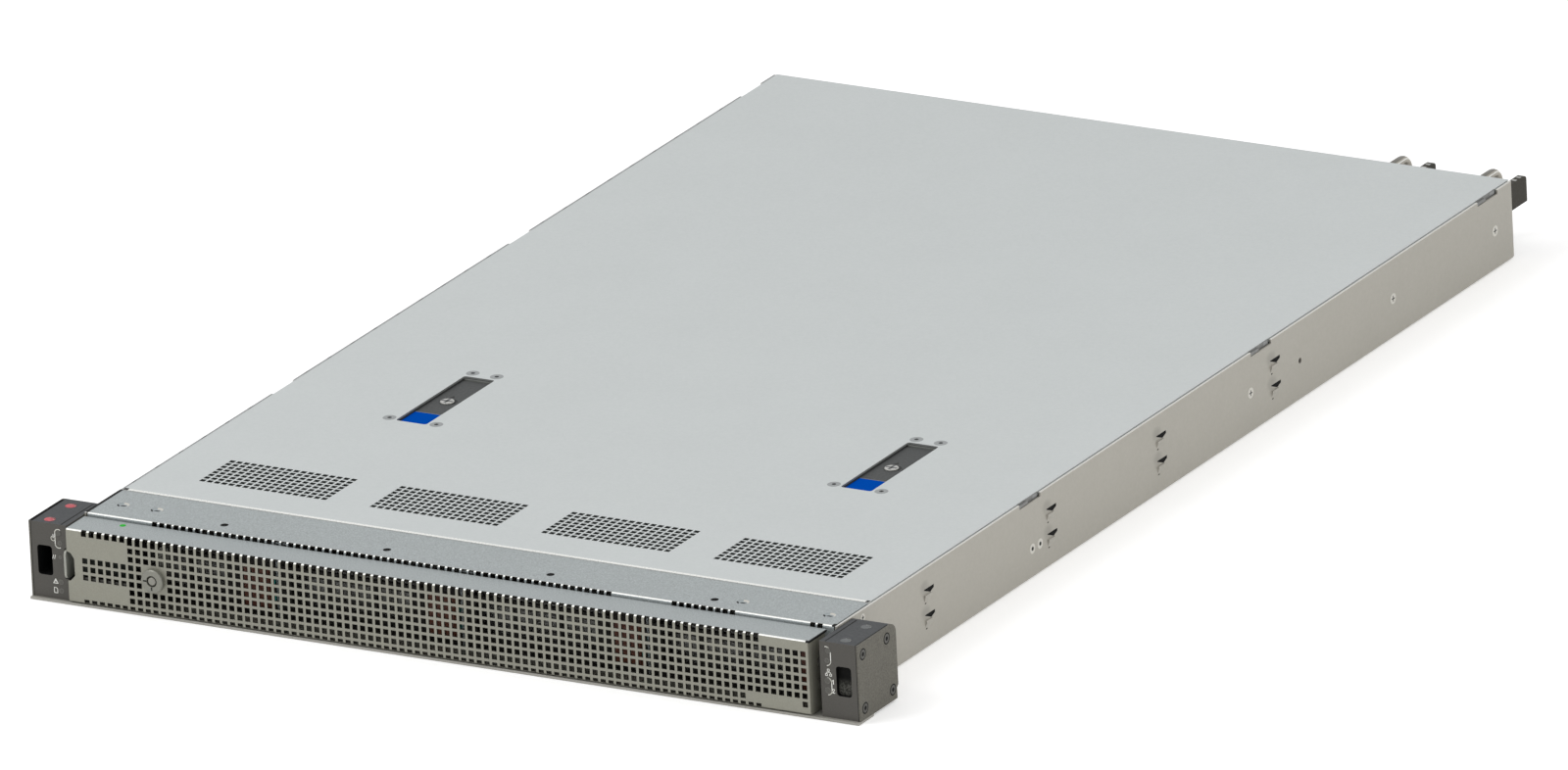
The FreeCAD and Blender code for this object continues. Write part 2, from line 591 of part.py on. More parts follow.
def hard_drive(x):
    low = SHEET + SEAT_GAP + CARRIER_LIP
    high = low + DRIVE_HEIGHT
    half = DRIVE_WIDTH / 2
    rear = DRIVE_FRONT + DRIVE_DEPTH
    body = box(x - half, x + half, DRIVE_FRONT, rear, low, high - 4)
    cover = box(x - half + 1, x + half - 1, DRIVE_FRONT + 2, rear - 12, high - 4, high)
    return join([body, cover])


def drive_light_pipes():
    lamps = []
    for x in BAY_CENTRES:
        for z in (11.6, 20.6):
            right = x + CARRIER_WIDTH / 2 - 0.4
            lamps.append(box(right - 1.4, right, CARRIER_FRONT - 1.3, CARRIER_FRONT, z - 1.5, z + 1.5))
    return group(lamps)


def drive_backplane():
    y0 = CAGE_REAR + SEAT_GAP
    half = BAY_PITCH * BAYS / 2 - 2
    top = LID_UNDER - HEADROOM
    board = box(-half, half, y0, y0 + BACKPLANE, SHEET + SEAT_GAP, top)
    windows = [box(x - 42, x + 42, y0 - 1, y0 + BACKPLANE + 1, top - 14, top - 5) for x in BAY_CENTRES]
    plugs = [box(x - 20, x + 22, DRIVE_FRONT + DRIVE_DEPTH + SEAT_GAP, y0, 6, 12) for x in BAY_CENTRES]
    return join([board.cut(group(windows))] + plugs)


# ---------------------------------------------------------------- rack ears
def ear_outline():
    return [(EAR_FRONT, SILL_THICKNESS), (EAR_REAR - EAR_STEP, SILL_THICKNESS),
            (EAR_REAR - EAR_STEP, EAR_STEP_HEIGHT), (EAR_REAR, EAR_STEP_HEIGHT + EAR_STEP),
            (EAR_REAR, EAR_TOP), (EAR_FRONT, EAR_TOP)]


def ear_slab(x0, x1):
    slab = extrude_x(ear_outline(), x0, x1)
    return fillet(slab, EAR_CORNER, AXIS_X, lambda p: p.y > EAR_REAR - 1 and p.z > EAR_TOP - 1)


def ear_housing(side):
    """Right ear; the left one is its mirror image apart from what meets the bezel."""
    body = ear_slab(EAR_INSIDE, EAR_OUTSIDE)
    window = box(WINDOW_X - WINDOW_WIDTH / 2, WINDOW_X + WINDOW_WIDTH / 2,
                 EAR_FRONT - 1, EAR_REAR - EAR_REAR_WALL, WINDOW_LOW, WINDOW_HIGH)
    cuts = [fillet(window, WINDOW_CORNER, AXIS_Y),
            rod((WINDOW_X, EAR_REAR - EAR_REAR_WALL - 1, WINDOW_Z), (WINDOW_X, EAR_REAR + 1, WINDOW_Z),
                RACK_SCREW_HOLE)]
    cuts.append(rod((BUTTON_X, EAR_FRONT - 1, BUTTON_Z),
                    (BUTTON_X, EAR_FRONT + BUTTON_LENGTH + BUTTON_TRAVEL, BUTTON_Z), BUTTON_RADIUS + PIN_FIT))
    if side > 0:
        for z in HOOK_PLACES:
            reach = HOOK_RADIUS + HOOK_PLAY
            hook_x, hook_y = HOOK_AXIS
            cuts.append(box(EAR_INSIDE - 1, hook_x + reach, hook_y - reach - HOOK_PLAY / 2, hook_y + reach,
                            z - HOOK_PLAY, z + HOOK_HEIGHT + HOOK_PLAY))
    else:
        cuts.append(box(EAR_INSIDE - 1, -TAB_LEFT + 2 * MOVE_GAP, EAR_FRONT - 1, TAB_BAR_FRONT + TAB_BAR + 1,
                        TAB_LOW - 2 * MOVE_GAP, TAB_HIGH + 2 * MOVE_GAP))
    body = body.cut(group(cuts))
    return body if side > 0 else mirror_x(body)


def ear_side_covers():
    cover = ear_slab(EAR_OUTSIDE, HALF_RACK)
    return group([cover, mirror_x(cover)])


def ear_side_screws():
    heads = []
    for y, z in EAR_SCREW_PLACES:
        head = prism((HALF_RACK, y, z), (HALF_RACK + 0.2, y, z), EAR_SCREW_RADIUS)
        heads += [head, mirror_x(head)]
    return group(heads)


def ear_top_plugs():
    plugs = []
    for y in PLUG_PLACES:
        plug = prism((WINDOW_X - 0.8, y, EAR_TOP), (WINDOW_X - 0.8, y, EAR_TOP + 0.2), PLUG_RADIUS)
        plugs += [plug, mirror_x(plug)]
    return group(plugs)


def ear_leds():
    lights = []
    for side, places in ((-1, LEFT_LEDS), (1, RIGHT_LEDS)):
        for inset, z in places:
            x = side * (HALF_CHASSIS + inset)
            lights.append(prism((x, EAR_FRONT - 0.15, z), (x, EAR_FRONT, z), LED_RADIUS, sides=8))
    return group(lights)


def ear_button(side):
    x = side * BUTTON_X
    return rod((x, EAR_FRONT - 0.3, BUTTON_Z), (x, EAR_FRONT + BUTTON_LENGTH - 0.3, BUTTON_Z), BUTTON_RADIUS)


# ---------------------------------------------------------------- bezel
def bezel_holes():
    """Square mesh. Neighbouring holes of the fine mesh are cut as one opening, to keep the model light."""
    def column(n):
        return MESH_FIRST + MESH_PITCH * n

    def opening(columns, z_low_row, z_high_row):
        return box(column(columns[0]) - MESH_HOLE / 2, column(columns[1]) + MESH_HOLE / 2,
                   BEZEL_FRONT - 1, BEZEL_BACK + 1, z_low_row - MESH_HOLE / 2, z_high_row + MESH_HOLE / 2)

    last = ALL_COLUMNS - 1
    row = MESH_PITCH
    bands = [                 # lowest and highest row of the band, runs of columns
        (MESH_ROW + 2 * row, MESH_ROW + 3 * row, runs_without(PLAIN_COLUMNS, last)),
        (MESH_ROW, MESH_ROW + row, runs_without(0, last, LOCK_COLUMNS)),
        (MESH_ROW - row, MESH_ROW - row, runs_without(0, last, LOCK_COLUMNS)),
        (MESH_ROW - 2 * row, MESH_ROW - 2 * row, runs_without(PLAIN_COLUMNS, last)),
        (MESH_ROW - 3 * row, MESH_ROW - 3 * row, runs_without(PLAIN_COLUMNS, last, NAME_COLUMNS)),
    ]
    holes = []
    for z0, z1, runs in bands:
        for run in runs:
            size = BAND_COLUMNS if z1 > z0 else ROW_COLUMNS
            holes += [opening(columns, z0, z1) for columns in grouped(run, size)]
    top_low = MESH_ROW + 4 * row - MESH_HOLE / 2
    bottom_high = MESH_ROW - 4 * row + MESH_HOLE / 2
    for columns in grouped((0, TOP_COLUMNS - 1), EDGE_COLUMNS):
        x0, x1 = column(columns[0]) - MESH_HOLE / 2, column(columns[1]) + MESH_HOLE / 2
        holes.append(box(x0, x1, BEZEL_FRONT - 1, BEZEL_FRONT + BEZEL_BEND, top_low, BEZEL_TOP + 1))
        holes.append(box(x0, x1, BEZEL_FRONT - 1, BEZEL_FRONT + BEZEL_BEND, BEZEL_LOW - 1, bottom_high))
    return holes


def bezel_panel():
    outer = extrude_x([(BEZEL_FRONT, BEZEL_LOW), (BEZEL_FLOOR_REAR, BEZEL_LOW),
                       (BEZEL_FLOOR_REAR, BEZEL_LOW + SHEET), (BEZEL_BACK, BEZEL_LOW + SHEET),
                       (BEZEL_BACK, BEZEL_TOP - SHEET), (BEZEL_REAR, BEZEL_TOP - SHEET),
                       (BEZEL_REAR, BEZEL_TOP), (BEZEL_FRONT, BEZEL_TOP)], BEZEL_LEFT, BEZEL_RIGHT)
    outer = fillet(outer, BEZEL_BEND, AXIS_X, lambda p: p.y < BEZEL_FRONT + 0.1)
    side = box(BEZEL_RIGHT - SHEET, BEZEL_RIGHT, BEZEL_BACK, BEZEL_RETURN_REAR,
               BEZEL_LOW + SHEET, BEZEL_TOP - SHEET)
    notch = extrude_y([(BEZEL_LEFT - 1, NOTCH_LOW), (BEZEL_LEFT + 1.2, NOTCH_LOW),
                       (BEZEL_LEFT + NOTCH_DEPTH, NOTCH_LOW + NOTCH_SLOPE),
                       (BEZEL_LEFT + NOTCH_DEPTH, NOTCH_HIGH - NOTCH_SLOPE),
                       (BEZEL_LEFT + 1.2, NOTCH_HIGH), (BEZEL_LEFT - 1, NOTCH_HIGH)],
                      BEZEL_FRONT - 1, BEZEL_BACK + 1)
    led_x, led_y = BEZEL_LED
    cuts = bezel_holes() + [
        notch,
        rod((LOCK_X, BEZEL_FRONT - 1, MESH_ROW), (LOCK_X, BEZEL_BACK + 1, MESH_ROW), LOCK_BARREL + PIN_FIT),
        rod((led_x, led_y, BEZEL_TOP - 3), (led_x, led_y, BEZEL_TOP + 1), BEZEL_LED_RADIUS + PIN_FIT)]
    return join([outer, side]).cut(group(cuts))


def bezel_latch_bracket():
    """Hat-shaped guide that holds the release tab behind the bezel."""
    low, high = TAB_BAR_LOW - MOVE_GAP, TAB_BAR_HIGH + MOVE_GAP
    inside = TAB_BAR_FRONT + TAB_BAR + MOVE_GAP
    foot = BEZEL_BACK + SHEET
    profile = [(BEZEL_BACK, low - SHEET - BRACKET_FOOT), (foot, low - SHEET - BRACKET_FOOT),
               (foot, low - SHEET), (inside + SHEET, low - SHEET), (inside + SHEET, high + SHEET),
               (foot, high + SHEET), (foot, high + SHEET + BRACKET_FOOT),
               (BEZEL_BACK, high + SHEET + BRACKET_FOOT), (BEZEL_BACK, high), (inside, high), (inside, low),
               (BEZEL_BACK, low)]
    return extrude_x(profile, BRACKET_LEFT, BRACKET_RIGHT)


def bezel_release_tab():
    lip = box(TAB_LEFT, TAB_LEFT + TAB_LIP, BEZEL_FRONT, TAB_BAR_FRONT + TAB_BAR, TAB_LOW, TAB_HIGH)
    lip = fillet(lip, TAB_CORNER, AXIS_X, lambda p: p.y < BEZEL_FRONT + 0.1)
    palm = box(TAB_LEFT, BEZEL_LEFT + NOTCH_DEPTH - TAB_TRAVEL, TAB_BAR_FRONT, TAB_BAR_FRONT + TAB_BAR,
               TAB_LOW + 1, TAB_HIGH - 1)
    bar = box(TAB_LEFT, TAB_BAR_END, TAB_BAR_FRONT, TAB_BAR_FRONT + TAB_BAR, TAB_BAR_LOW, TAB_BAR_HIGH)
    return join([lip, palm, bar])


def bezel_lock_body():
    face = BEZEL_FRONT - LOCK_PROUD
    body = join([rod((LOCK_X, face, MESH_ROW), (LOCK_X, BEZEL_FRONT, MESH_ROW), LOCK_RADIUS),
                 rod((LOCK_X, face, MESH_ROW), (LOCK_X, LOCK_BARREL_END, MESH_ROW), LOCK_BARREL)])
    tick = KEYWAY_RADIUS + 1.9
    half = TICK / 2
    deep = face + KEYWAY_DEPTH / 2
    cuts = [rod((LOCK_X, face - 1, MESH_ROW), (LOCK_X, LOCK_BARREL_END + 1, MESH_ROW), KEYWAY_RADIUS),
            box(LOCK_X - tick, LOCK_X, face - 1, deep, MESH_ROW - half, MESH_ROW + half),
            box(LOCK_X - half, LOCK_X + half, face - 1, deep, MESH_ROW - tick, MESH_ROW)]
    return body.cut(group(cuts))


def bezel_lock_plug():
    face = BEZEL_FRONT - LOCK_PROUD
    cam_front = LOCK_BARREL_END + SEAT_GAP
    core = rod((LOCK_X, face + KEYWAY_DEPTH, MESH_ROW), (LOCK_X, cam_front, MESH_ROW),
               KEYWAY_RADIUS - PIN_FIT)
    post = rod((LOCK_X, face + 0.2, MESH_ROW), (LOCK_X, cam_front, MESH_ROW), KEY_POST_RADIUS)
    cam = box(LOCK_X - CAM_WIDTH / 2, LOCK_X + CAM_WIDTH / 2, cam_front, cam_front + CAM_THICKNESS,
              MESH_ROW - CAM_WIDTH / 2, MESH_ROW + CAM_LENGTH)
    cam = fillet(cam, CAM_WIDTH / 2 - 0.1, AXIS_Y)
    return join([core, post, cam])


def bezel_status_light():
    x, y = BEZEL_LED
    return rod((x, y, BEZEL_TOP - 4), (x, y, BEZEL_TOP + 0.2), BEZEL_LED_RADIUS)


def bezel_hook(z):
    """Hook that is fixed inside the right-hand return and turns in a pocket of the ear."""
    inner = BEZEL_RIGHT - 2 * SHEET
    axis_x, axis_y = HOOK_AXIS
    arm_front = axis_y - HOOK_ARM / 2
    arm_back = axis_y + HOOK_ARM / 2
    arm = extrude_z([(inner, 1.0), (inner + SHEET, 1.0), (inner + SHEET, arm_front), (axis_x, arm_front),
                     (axis_x, arm_back), (inner, arm_back)], z, z + HOOK_HEIGHT)
    barrel = prism((axis_x, axis_y, z), (axis_x, axis_y, z + HOOK_HEIGHT), HOOK_RADIUS)
    return join([arm, barrel])


# ---------------------------------------------------------------- lid and its latches
def latch_opening(x):
    half = LATCH_WIDTH / 2
    block = box(x - half, x + half, LATCH_FRONT, LATCH_REAR, LID_UNDER - 1, CHASSIS_HEIGHT + 1)
    return fillet(block, LATCH_CORNER, AXIS_Z)


def top_cover():
    lid = box(-HALF_LID, HALF_LID, LID_FRONT, CHASSIS_REAR, LID_UNDER, CHASSIS_HEIGHT)
    parts = [lid]
    parts += mirrored_boxes(HALF_LID - SHEET, HALF_LID, PANEL_REAR + TONGUE + 2,
                            CHASSIS_REAR - SHEET - LID_TRAVEL - 1, LID_UNDER - LID_HEM, LID_UNDER)
    for y in TAB_NOTCHES:
        front = y - NOTCH_LENGTH / 2 + MOVE_GAP
        parts += mirrored_boxes(HALF_LID - SHEET, HALF_CHASSIS - MOVE_GAP, front, front + LID_TAB_LENGTH,
                                WALL_NOTCH_LOW + MOVE_GAP, LID_UNDER)
    cuts = [latch_opening(side * LATCH_X) for side in (-1, 1)]
    for middle in spread(VENT_GRIDS, VENT_GRID_PITCH):
        columns = spread(VENT_COLUMNS, VENT_PITCH, middle)
        for first, last in grouped((0, VENT_COLUMNS - 1), VENT_CUT_COLUMNS):
            for low, high in grouped((0, VENT_ROWS - 1), VENT_CUT_ROWS):
                y0 = VENT_FRONT + VENT_PITCH * low
                y1 = VENT_FRONT + VENT_PITCH * high + VENT_HOLE
                cuts.append(box(columns[first] - VENT_HOLE / 2, columns[last] + VENT_HOLE / 2, y0, y1,
                                LID_UNDER - 1, CHASSIS_HEIGHT + 1))
    return join(parts).cut(group(cuts))


def cover_latch_housing(x):
    low = LID_UNDER - LATCH_DEEP
    wall = LATCH_WALL + MOVE_GAP
    half = LATCH_WIDTH / 2 + wall
    tub = box(x - half, x + half, LATCH_FRONT - wall, LATCH_REAR + wall, low, LID_UNDER)
    flange = box(x - LATCH_FLANGE, x + LATCH_FLANGE, LATCH_SCREWS[2][1] - LATCH_FLANGE_EDGE,
                 LATCH_SCREWS[0][1] + LATCH_FLANGE_EDGE, LID_UNDER - LATCH_WALL, LID_UNDER)
    inside = LATCH_WIDTH / 2 + MOVE_GAP
    cavity = box(x - inside, x + inside, LATCH_FRONT - MOVE_GAP, LATCH_REAR + MOVE_GAP,
                 low + LATCH_WALL, LID_UNDER + 1)
    return join([tub, flange]).cut(cavity)


def cover_latch_screws():
    heads = []
    for side in (-1, 1):
        for dx, y in LATCH_SCREWS:
            x = side * LATCH_X + dx
            heads.append(prism((x, y, CHASSIS_HEIGHT), (x, y, CHASSIS_HEIGHT + 0.15), LATCH_SCREW_RADIUS))
    return group(heads)


def latch_handle(x):
    half = LATCH_WIDTH / 2 - MOVE_GAP
    front = LATCH_FRONT + 2 * MOVE_GAP
    plate_low = HANDLE_TOP - HANDLE_PLATE
    pad_back = front + PAD_LENGTH
    rear = LATCH_HINGE_Y + 1.8
    plate = box(x - half, x + half, pad_back, rear, plate_low, HANDLE_TOP)
    under_pad = box(x - half, x + half, front + 0.8, pad_back, HANDLE_TOP - PAD_THICKNESS - HANDLE_PLATE,
                    HANDLE_TOP - PAD_THICKNESS)
    skirts = [box(x + side * half - (HANDLE_SKIRT_WALL if side > 0 else 0),
                  x + side * half + (HANDLE_SKIRT_WALL if side < 0 else 0),
                  front + 0.8, LATCH_HINGE_Y, plate_low - HANDLE_SKIRT, plate_low) for side in (-1, 1)]
    barrel = prism((x - half, LATCH_HINGE_Y, LATCH_HINGE_Z), (x + half, LATCH_HINGE_Y, LATCH_HINGE_Z),
                   LATCH_BARREL)
    body = join([plate, under_pad, barrel] + skirts)
    bore = prism((x - half - 1, LATCH_HINGE_Y, LATCH_HINGE_Z), (x + half + 1, LATCH_HINGE_Y, LATCH_HINGE_Z),
                 PRISM_BORE * (LATCH_PIN + PIN_FIT))
    lock_hole = prism((x, TURN_LOCK_Y, plate_low - 1), (x, TURN_LOCK_Y, HANDLE_TOP + 1),
                      PRISM_BORE * (TURN_LOCK_SHANK + PIN_FIT))
    return body.cut(group([bore, lock_hole]))


def latch_pad(x):
    half = LATCH_WIDTH / 2 - MOVE_GAP
    front = LATCH_FRONT + 2 * MOVE_GAP
    pad = box(x - half, x + half, front, front + PAD_LENGTH, HANDLE_TOP - PAD_THICKNESS, HANDLE_TOP)
    return fillet(pad, 0.8, AXIS_X, lambda p: p.y < front + 0.1 and p.z > HANDLE_TOP - 0.1)


def latch_turn_lock(x):
    plate_low = HANDLE_TOP - HANDLE_PLATE
    head = prism((x, TURN_LOCK_Y, HANDLE_TOP), (x, TURN_LOCK_Y, HANDLE_TOP + TURN_LOCK_HEAD),
                 TURN_LOCK_RADIUS, sides=24)
    shank = prism((x, TURN_LOCK_Y, plate_low - 2.2), (x, TURN_LOCK_Y, HANDLE_TOP), TURN_LOCK_SHANK)
    bar = box(x - 4.5, x + 4.5, TURN_LOCK_Y - 1.6, TURN_LOCK_Y + 1.6, plate_low - 2.2, plate_low - SEAT_GAP)
    slot = box(x - 2.6, x + 2.6, TURN_LOCK_Y - 0.4, TURN_LOCK_Y + 0.4, HANDLE_TOP + 0.2, HANDLE_TOP + 1)
    cross = box(x - 0.4, x + 0.4, TURN_LOCK_Y - 2.6, TURN_LOCK_Y + 2.6, HANDLE_TOP + 0.2, HANDLE_TOP + 1)
    return join([head, shank, bar]).cut(join([slot, cross]))


def cover_latch_pins():
    half = LATCH_WIDTH / 2 + MOVE_GAP
    return group([prism((side * LATCH_X - half, LATCH_HINGE_Y, LATCH_HINGE_Z),
                        (side * LATCH_X + half, LATCH_HINGE_Y, LATCH_HINGE_Z), LATCH_PIN)
                  for side in (-1, 1)])


# ---------------------------------------------------------------- fans
def fan_tray():
    half = HALF_LID - 2.3
    wall = box(-half, half, FAN_TRAY_FRONT, FAN_TRAY_FRONT + SHEET, SHEET, LID_UNDER - CONTACT_GAP)
    floor = box(-half, half, FAN_TRAY_FRONT, FAN_REAR + 2, SHEET, FAN_FLOOR)
    clear = FAN_SIZE / 2 - 2
    windows = [box(x - clear, x + clear, FAN_TRAY_FRONT - 1, FAN_TRAY_FRONT + SHEET + 1,
                   FAN_Z - clear, FAN_Z + clear) for x in FAN_CENTRES]
    return join([wall, floor]).cut(group(windows))


def fan_frame(x):
    half = FAN_SIZE / 2
    frame = box(x - half, x + half, FAN_FRONT, FAN_REAR, FAN_Z - half, FAN_Z + half)
    frame = frame.cut(prism((x, FAN_FRONT - 1, FAN_Z), (x, FAN_REAR + 1, FAN_Z), FAN_BORE, sides=20))
    motor_front = FAN_REAR - 4
    parts = [frame, prism((x, motor_front, FAN_Z), (x, FAN_REAR, FAN_Z), FAN_HUB, sides=12),
             prism((x, FAN_FRONT + 22, FAN_Z), (x, motor_front, FAN_Z), FAN_SHAFT)]
    for turn in (90, 210, 330):
        strut = box(x + FAN_HUB - 1, x + FAN_BORE + 0.6, motor_front, FAN_REAR, FAN_Z - 1.5, FAN_Z + 1.5)
        strut.rotate(V(x, 0, FAN_Z), AXIS_Y, turn)
        parts.append(strut)
    return join(parts)


def fan_rotor(x):
    hub_front = FAN_FRONT + 18
    hub_rear = FAN_REAR - 4 - MOVE_GAP
    hub = prism((x, hub_front, FAN_Z), (x, hub_rear, FAN_Z), FAN_HUB, sides=16)
    middle = (hub_front + hub_rear) / 2
    half_chord = FAN_BLADE_CHORD / 2
    swing = half_chord * math.sin(math.radians(FAN_BLADE_PITCH)) + FAN_BLADE
    bore_flat = FAN_BORE * math.cos(math.pi / 20)
    reach = math.sqrt((bore_flat - FAN_TIP_GAP) ** 2 - swing ** 2)
    blades = []
    for n in range(FAN_BLADES):
        blade = box(x + FAN_HUB - 5, x + reach, middle - half_chord, middle + half_chord,
                    FAN_Z - FAN_BLADE / 2, FAN_Z + FAN_BLADE / 2)
        blade.rotate(V(x, middle, FAN_Z), AXIS_X, FAN_BLADE_PITCH)
        blade.rotate(V(x, middle, FAN_Z), AXIS_Y, 360 * n / FAN_BLADES)
        blades.append(blade)
    bore = prism((x, FAN_FRONT + 22 - MOVE_GAP, FAN_Z), (x, hub_rear + 1, FAN_Z),
                 PRISM_BORE * (FAN_SHAFT + PIN_FIT))
    return join([hub] + blades).cut(bore)


# ---------------------------------------------------------------- electronics
def memory_centres():
    reach = COOLER_WIDTH / 2 + 6
    return [x + side * (reach + MEMORY_PITCH * n)
            for x in PROCESSOR_CENTRES for side in (-1, 1) for n in range(MEMORY_PER_SIDE)]


def mainboard():
    parts = [box(BOARD_LEFT, BOARD_RIGHT, BOARD_FRONT, BOARD_REAR, BOARD_LOW, BOARD_TOP)]
    for x in PROCESSOR_CENTRES:
        parts.append(box(x - 32, x + 32, PROCESSOR_Y - 42, PROCESSOR_Y + 42,
                         BOARD_TOP, BOARD_TOP + SOCKET_HEIGHT))
    depth = MEMORY_LENGTH + 8
    for x in memory_centres():
        parts.append(box(x - 3, x + 3, PROCESSOR_Y - depth / 2, PROCESSOR_Y + depth / 2,
                         BOARD_TOP, BOARD_TOP + SOCKET_HEIGHT))
    chip_right, chip_front = BOARD_RIGHT - 89, PROCESSOR_Y + 130
    parts.append(box(chip_right - 45, chip_right, chip_front, chip_front + 45, BOARD_TOP, BOARD_TOP + 12))
    plug_right, plug_front = BOARD_RIGHT - 9, PROCESSOR_Y + 100
    parts.append(box(plug_right - 55, plug_right, plug_front, plug_front + 15, BOARD_TOP, BOARD_TOP + 10))
    return join(parts)


def processor_cooler(x):
    low = BOARD_TOP + SOCKET_HEIGHT
    base = low + 4
    pitch = (COOLER_WIDTH - 1.2) / (COOLER_FINS - 1)
    outline = [(x - COOLER_WIDTH / 2, low), (x + COOLER_WIDTH / 2, low)]
    for n in reversed(range(COOLER_FINS)):
        left = x - COOLER_WIDTH / 2 + pitch * n
        outline += [(left + 1.2, base), (left + 1.2, COOLER_TOP), (left, COOLER_TOP), (left, base)]
    cleaned = [p for n, p in enumerate(outline) if n == 0 or p != outline[n - 1]]
    return extrude_y(cleaned, PROCESSOR_Y - COOLER_LENGTH / 2, PROCESSOR_Y + COOLER_LENGTH / 2)


def memory_modules():
    half = MEMORY_THICKNESS / 2
    front = PROCESSOR_Y - MEMORY_LENGTH / 2
    low = BOARD_TOP + SOCKET_HEIGHT
    return group([box(x - half, x + half, front, front + MEMORY_LENGTH, low, MEMORY_TOP)
                  for x in memory_centres()])


def riser_card():
    right = EXPANSION_RIGHT + 3
    return box(right - BOARD, right, EXPANSION_FRONT, CHASSIS_REAR - 32, BOARD_TOP, LID_UNDER - HEADROOM)


def expansion_card():
    left = EXPANSION_LEFT
    level = EXPANSION_LOW + 8
    riser_face = EXPANSION_RIGHT + 3 - BOARD
    board = box(left + 4, riser_face, EXPANSION_FRONT, CHASSIS_REAR - 4, level, level + BOARD)
    cooler = box(left + 30, left + 75, EXPANSION_FRONT + 30, EXPANSION_FRONT + 100,
                 level + BOARD, level + BOARD + 7)
    rear = CHASSIS_REAR - SHEET
    bracket = box(left - 1.5, EXPANSION_RIGHT + 1.5, rear - SHEET, rear,
                  EXPANSION_LOW - 1.5, EXPANSION_HIGH + 1.2)
    foot = box(left + 10, left + 22, CHASSIS_REAR - 12, rear, level + BOARD, level + BOARD + SHEET)
    return join([board, cooler, bracket, foot])


def rear_io_port(kind, inset, width, height):
    x = BOARD_RIGHT - inset
    rear = CHASSIS_REAR + PSU_PROUD
    shell = box(x - width / 2, x + width / 2, rear - PORT_DEPTH, rear, BOARD_TOP, BOARD_TOP + height)
    middle = BOARD_TOP + height / 2
    if kind == "network":
        socket = box(x - 5.9, x + 5.9, rear - 13, rear + 1, middle - 4.4, middle + 3.6)
        key = box(x - 3.1, x + 3.1, rear - 13, rear + 1, middle - 5.9, middle - 4.4)
        return shell.cut(join([socket, key]))
    if kind == "usb":
        socket = box(x - 6.4, x + 6.4, rear - 14, rear + 1, middle - 2.7, middle + 2.7)
        return shell.cut(socket)
    plug = extrude_y([(x - 8.0, middle - 3.9), (x + 8.0, middle - 3.9), (x + 8.9, middle + 3.9),
                      (x - 8.9, middle + 3.9)], rear, rear + 5.5)
    posts = [prism((x + side * 12.5, rear, middle), (x + side * 12.5, rear + 4.5, middle), 2.7, sides=6)
             for side in (-1, 1)]
    return join([shell, plug] + posts)


# ---------------------------------------------------------------- power supplies
def psu_case(left):
    top = PSU_FLOOR + PSU_HEIGHT
    right = left + PSU_WIDTH
    case = box(left, right, PSU_FRONT, PSU_REAR, PSU_FLOOR, top)
    inlet_x = left + INLET_OFFSET
    middle = PSU_FLOOR + PSU_HEIGHT / 2
    cuts = [box(inlet_x, inlet_x + INLET_WIDTH, PSU_REAR - INLET_DEPTH, PSU_REAR + 1,
                middle - INLET_HEIGHT / 2, middle + INLET_HEIGHT / 2)]
    for z in spread(4, 8.4, middle):
        cuts.append(box(left + 38.6, left + 46.4, PSU_REAR - 3, PSU_REAR + 1, z - 3.4, z + 3.4))
    case = case.cut(group(cuts))
    hinge_x = left + BAIL_OFFSET
    hinge_y = PSU_REAR + BAIL_PIVOT
    lugs = []
    for z0 in (BAIL_LOW + BAIL_BAR + MOVE_GAP, BAIL_HIGH - BAIL_BAR - MOVE_GAP - BAIL_LUG):
        lug = box(hinge_x - 2.2, hinge_x + 2.2, PSU_REAR, hinge_y + 2.6, z0, z0 + BAIL_LUG)
        lugs.append(lug.cut(prism((hinge_x, hinge_y, z0 - 1), (hinge_x, hinge_y, z0 + BAIL_LUG + 1),
                                  PRISM_BORE * (BAIL_PIN + PIN_FIT))))
    return join([case] + lugs)


def psu_inlet(left):
    half = INLET_WIDTH / 2
    x = left + INLET_OFFSET + half
    z = PSU_FLOOR + PSU_HEIGHT / 2
    front = PSU_REAR - INLET_DEPTH
    body = box(x - half, x + half, front, PSU_REAR + 0.4, z - INLET_HEIGHT / 2, z + INLET_HEIGHT / 2)
    chamfer = 4.0
    socket = extrude_y([(x - 11.8, z - 7.8), (x + 11.8, z - 7.8), (x + 11.8, z + 7.8 - chamfer),
                        (x + 11.8 - chamfer, z + 7.8), (x - 11.8 + chamfer, z + 7.8),
                        (x - 11.8, z + 7.8 - chamfer)], front + 2, PSU_REAR + 1)
    pins = [box(x + dx - 1, x + dx + 1, front + 1, PSU_REAR - 5, z + dz - 2, z + dz + 2)
            for dx, dz in ((-7, -1.5), (0, 2.0), (7, -1.5))]
    return join([body.cut(socket)] + pins)


def psu_bail(left):
    x = left + BAIL_OFFSET
    y0 = PSU_REAR + BAIL_PIVOT - 2.5
    y1 = PSU_REAR + BAIL_REACH
    half = BAIL_WIDTH / 2
    outer = box(x - half, x + half, y0, y1, BAIL_LOW, BAIL_HIGH)
    outer = fillet(outer, BAIL_CORNER, AXIS_X, lambda p: p.y > y1 - 0.1)
    inner = box(x - half - 1, x + half + 1, y0 - 1, y1 - BAIL_BAR, BAIL_LOW + BAIL_BAR, BAIL_HIGH - BAIL_BAR)
    inner = fillet(inner, BAIL_CORNER - BAIL_BAR, AXIS_X, lambda p: p.y > y1 - BAIL_BAR - 0.1)
    hinge_y = PSU_REAR + BAIL_PIVOT
    reach = BAIL_LUG + MOVE_GAP - 0.2
    low, high = BAIL_LOW + BAIL_BAR, BAIL_HIGH - BAIL_BAR
    pins = [prism((x, hinge_y, low - 0.5), (x, hinge_y, low + reach), BAIL_PIN),
            prism((x, hinge_y, high - reach), (x, hinge_y, high + 0.5), BAIL_PIN)]
    return join([outer.cut(inner)] + pins)


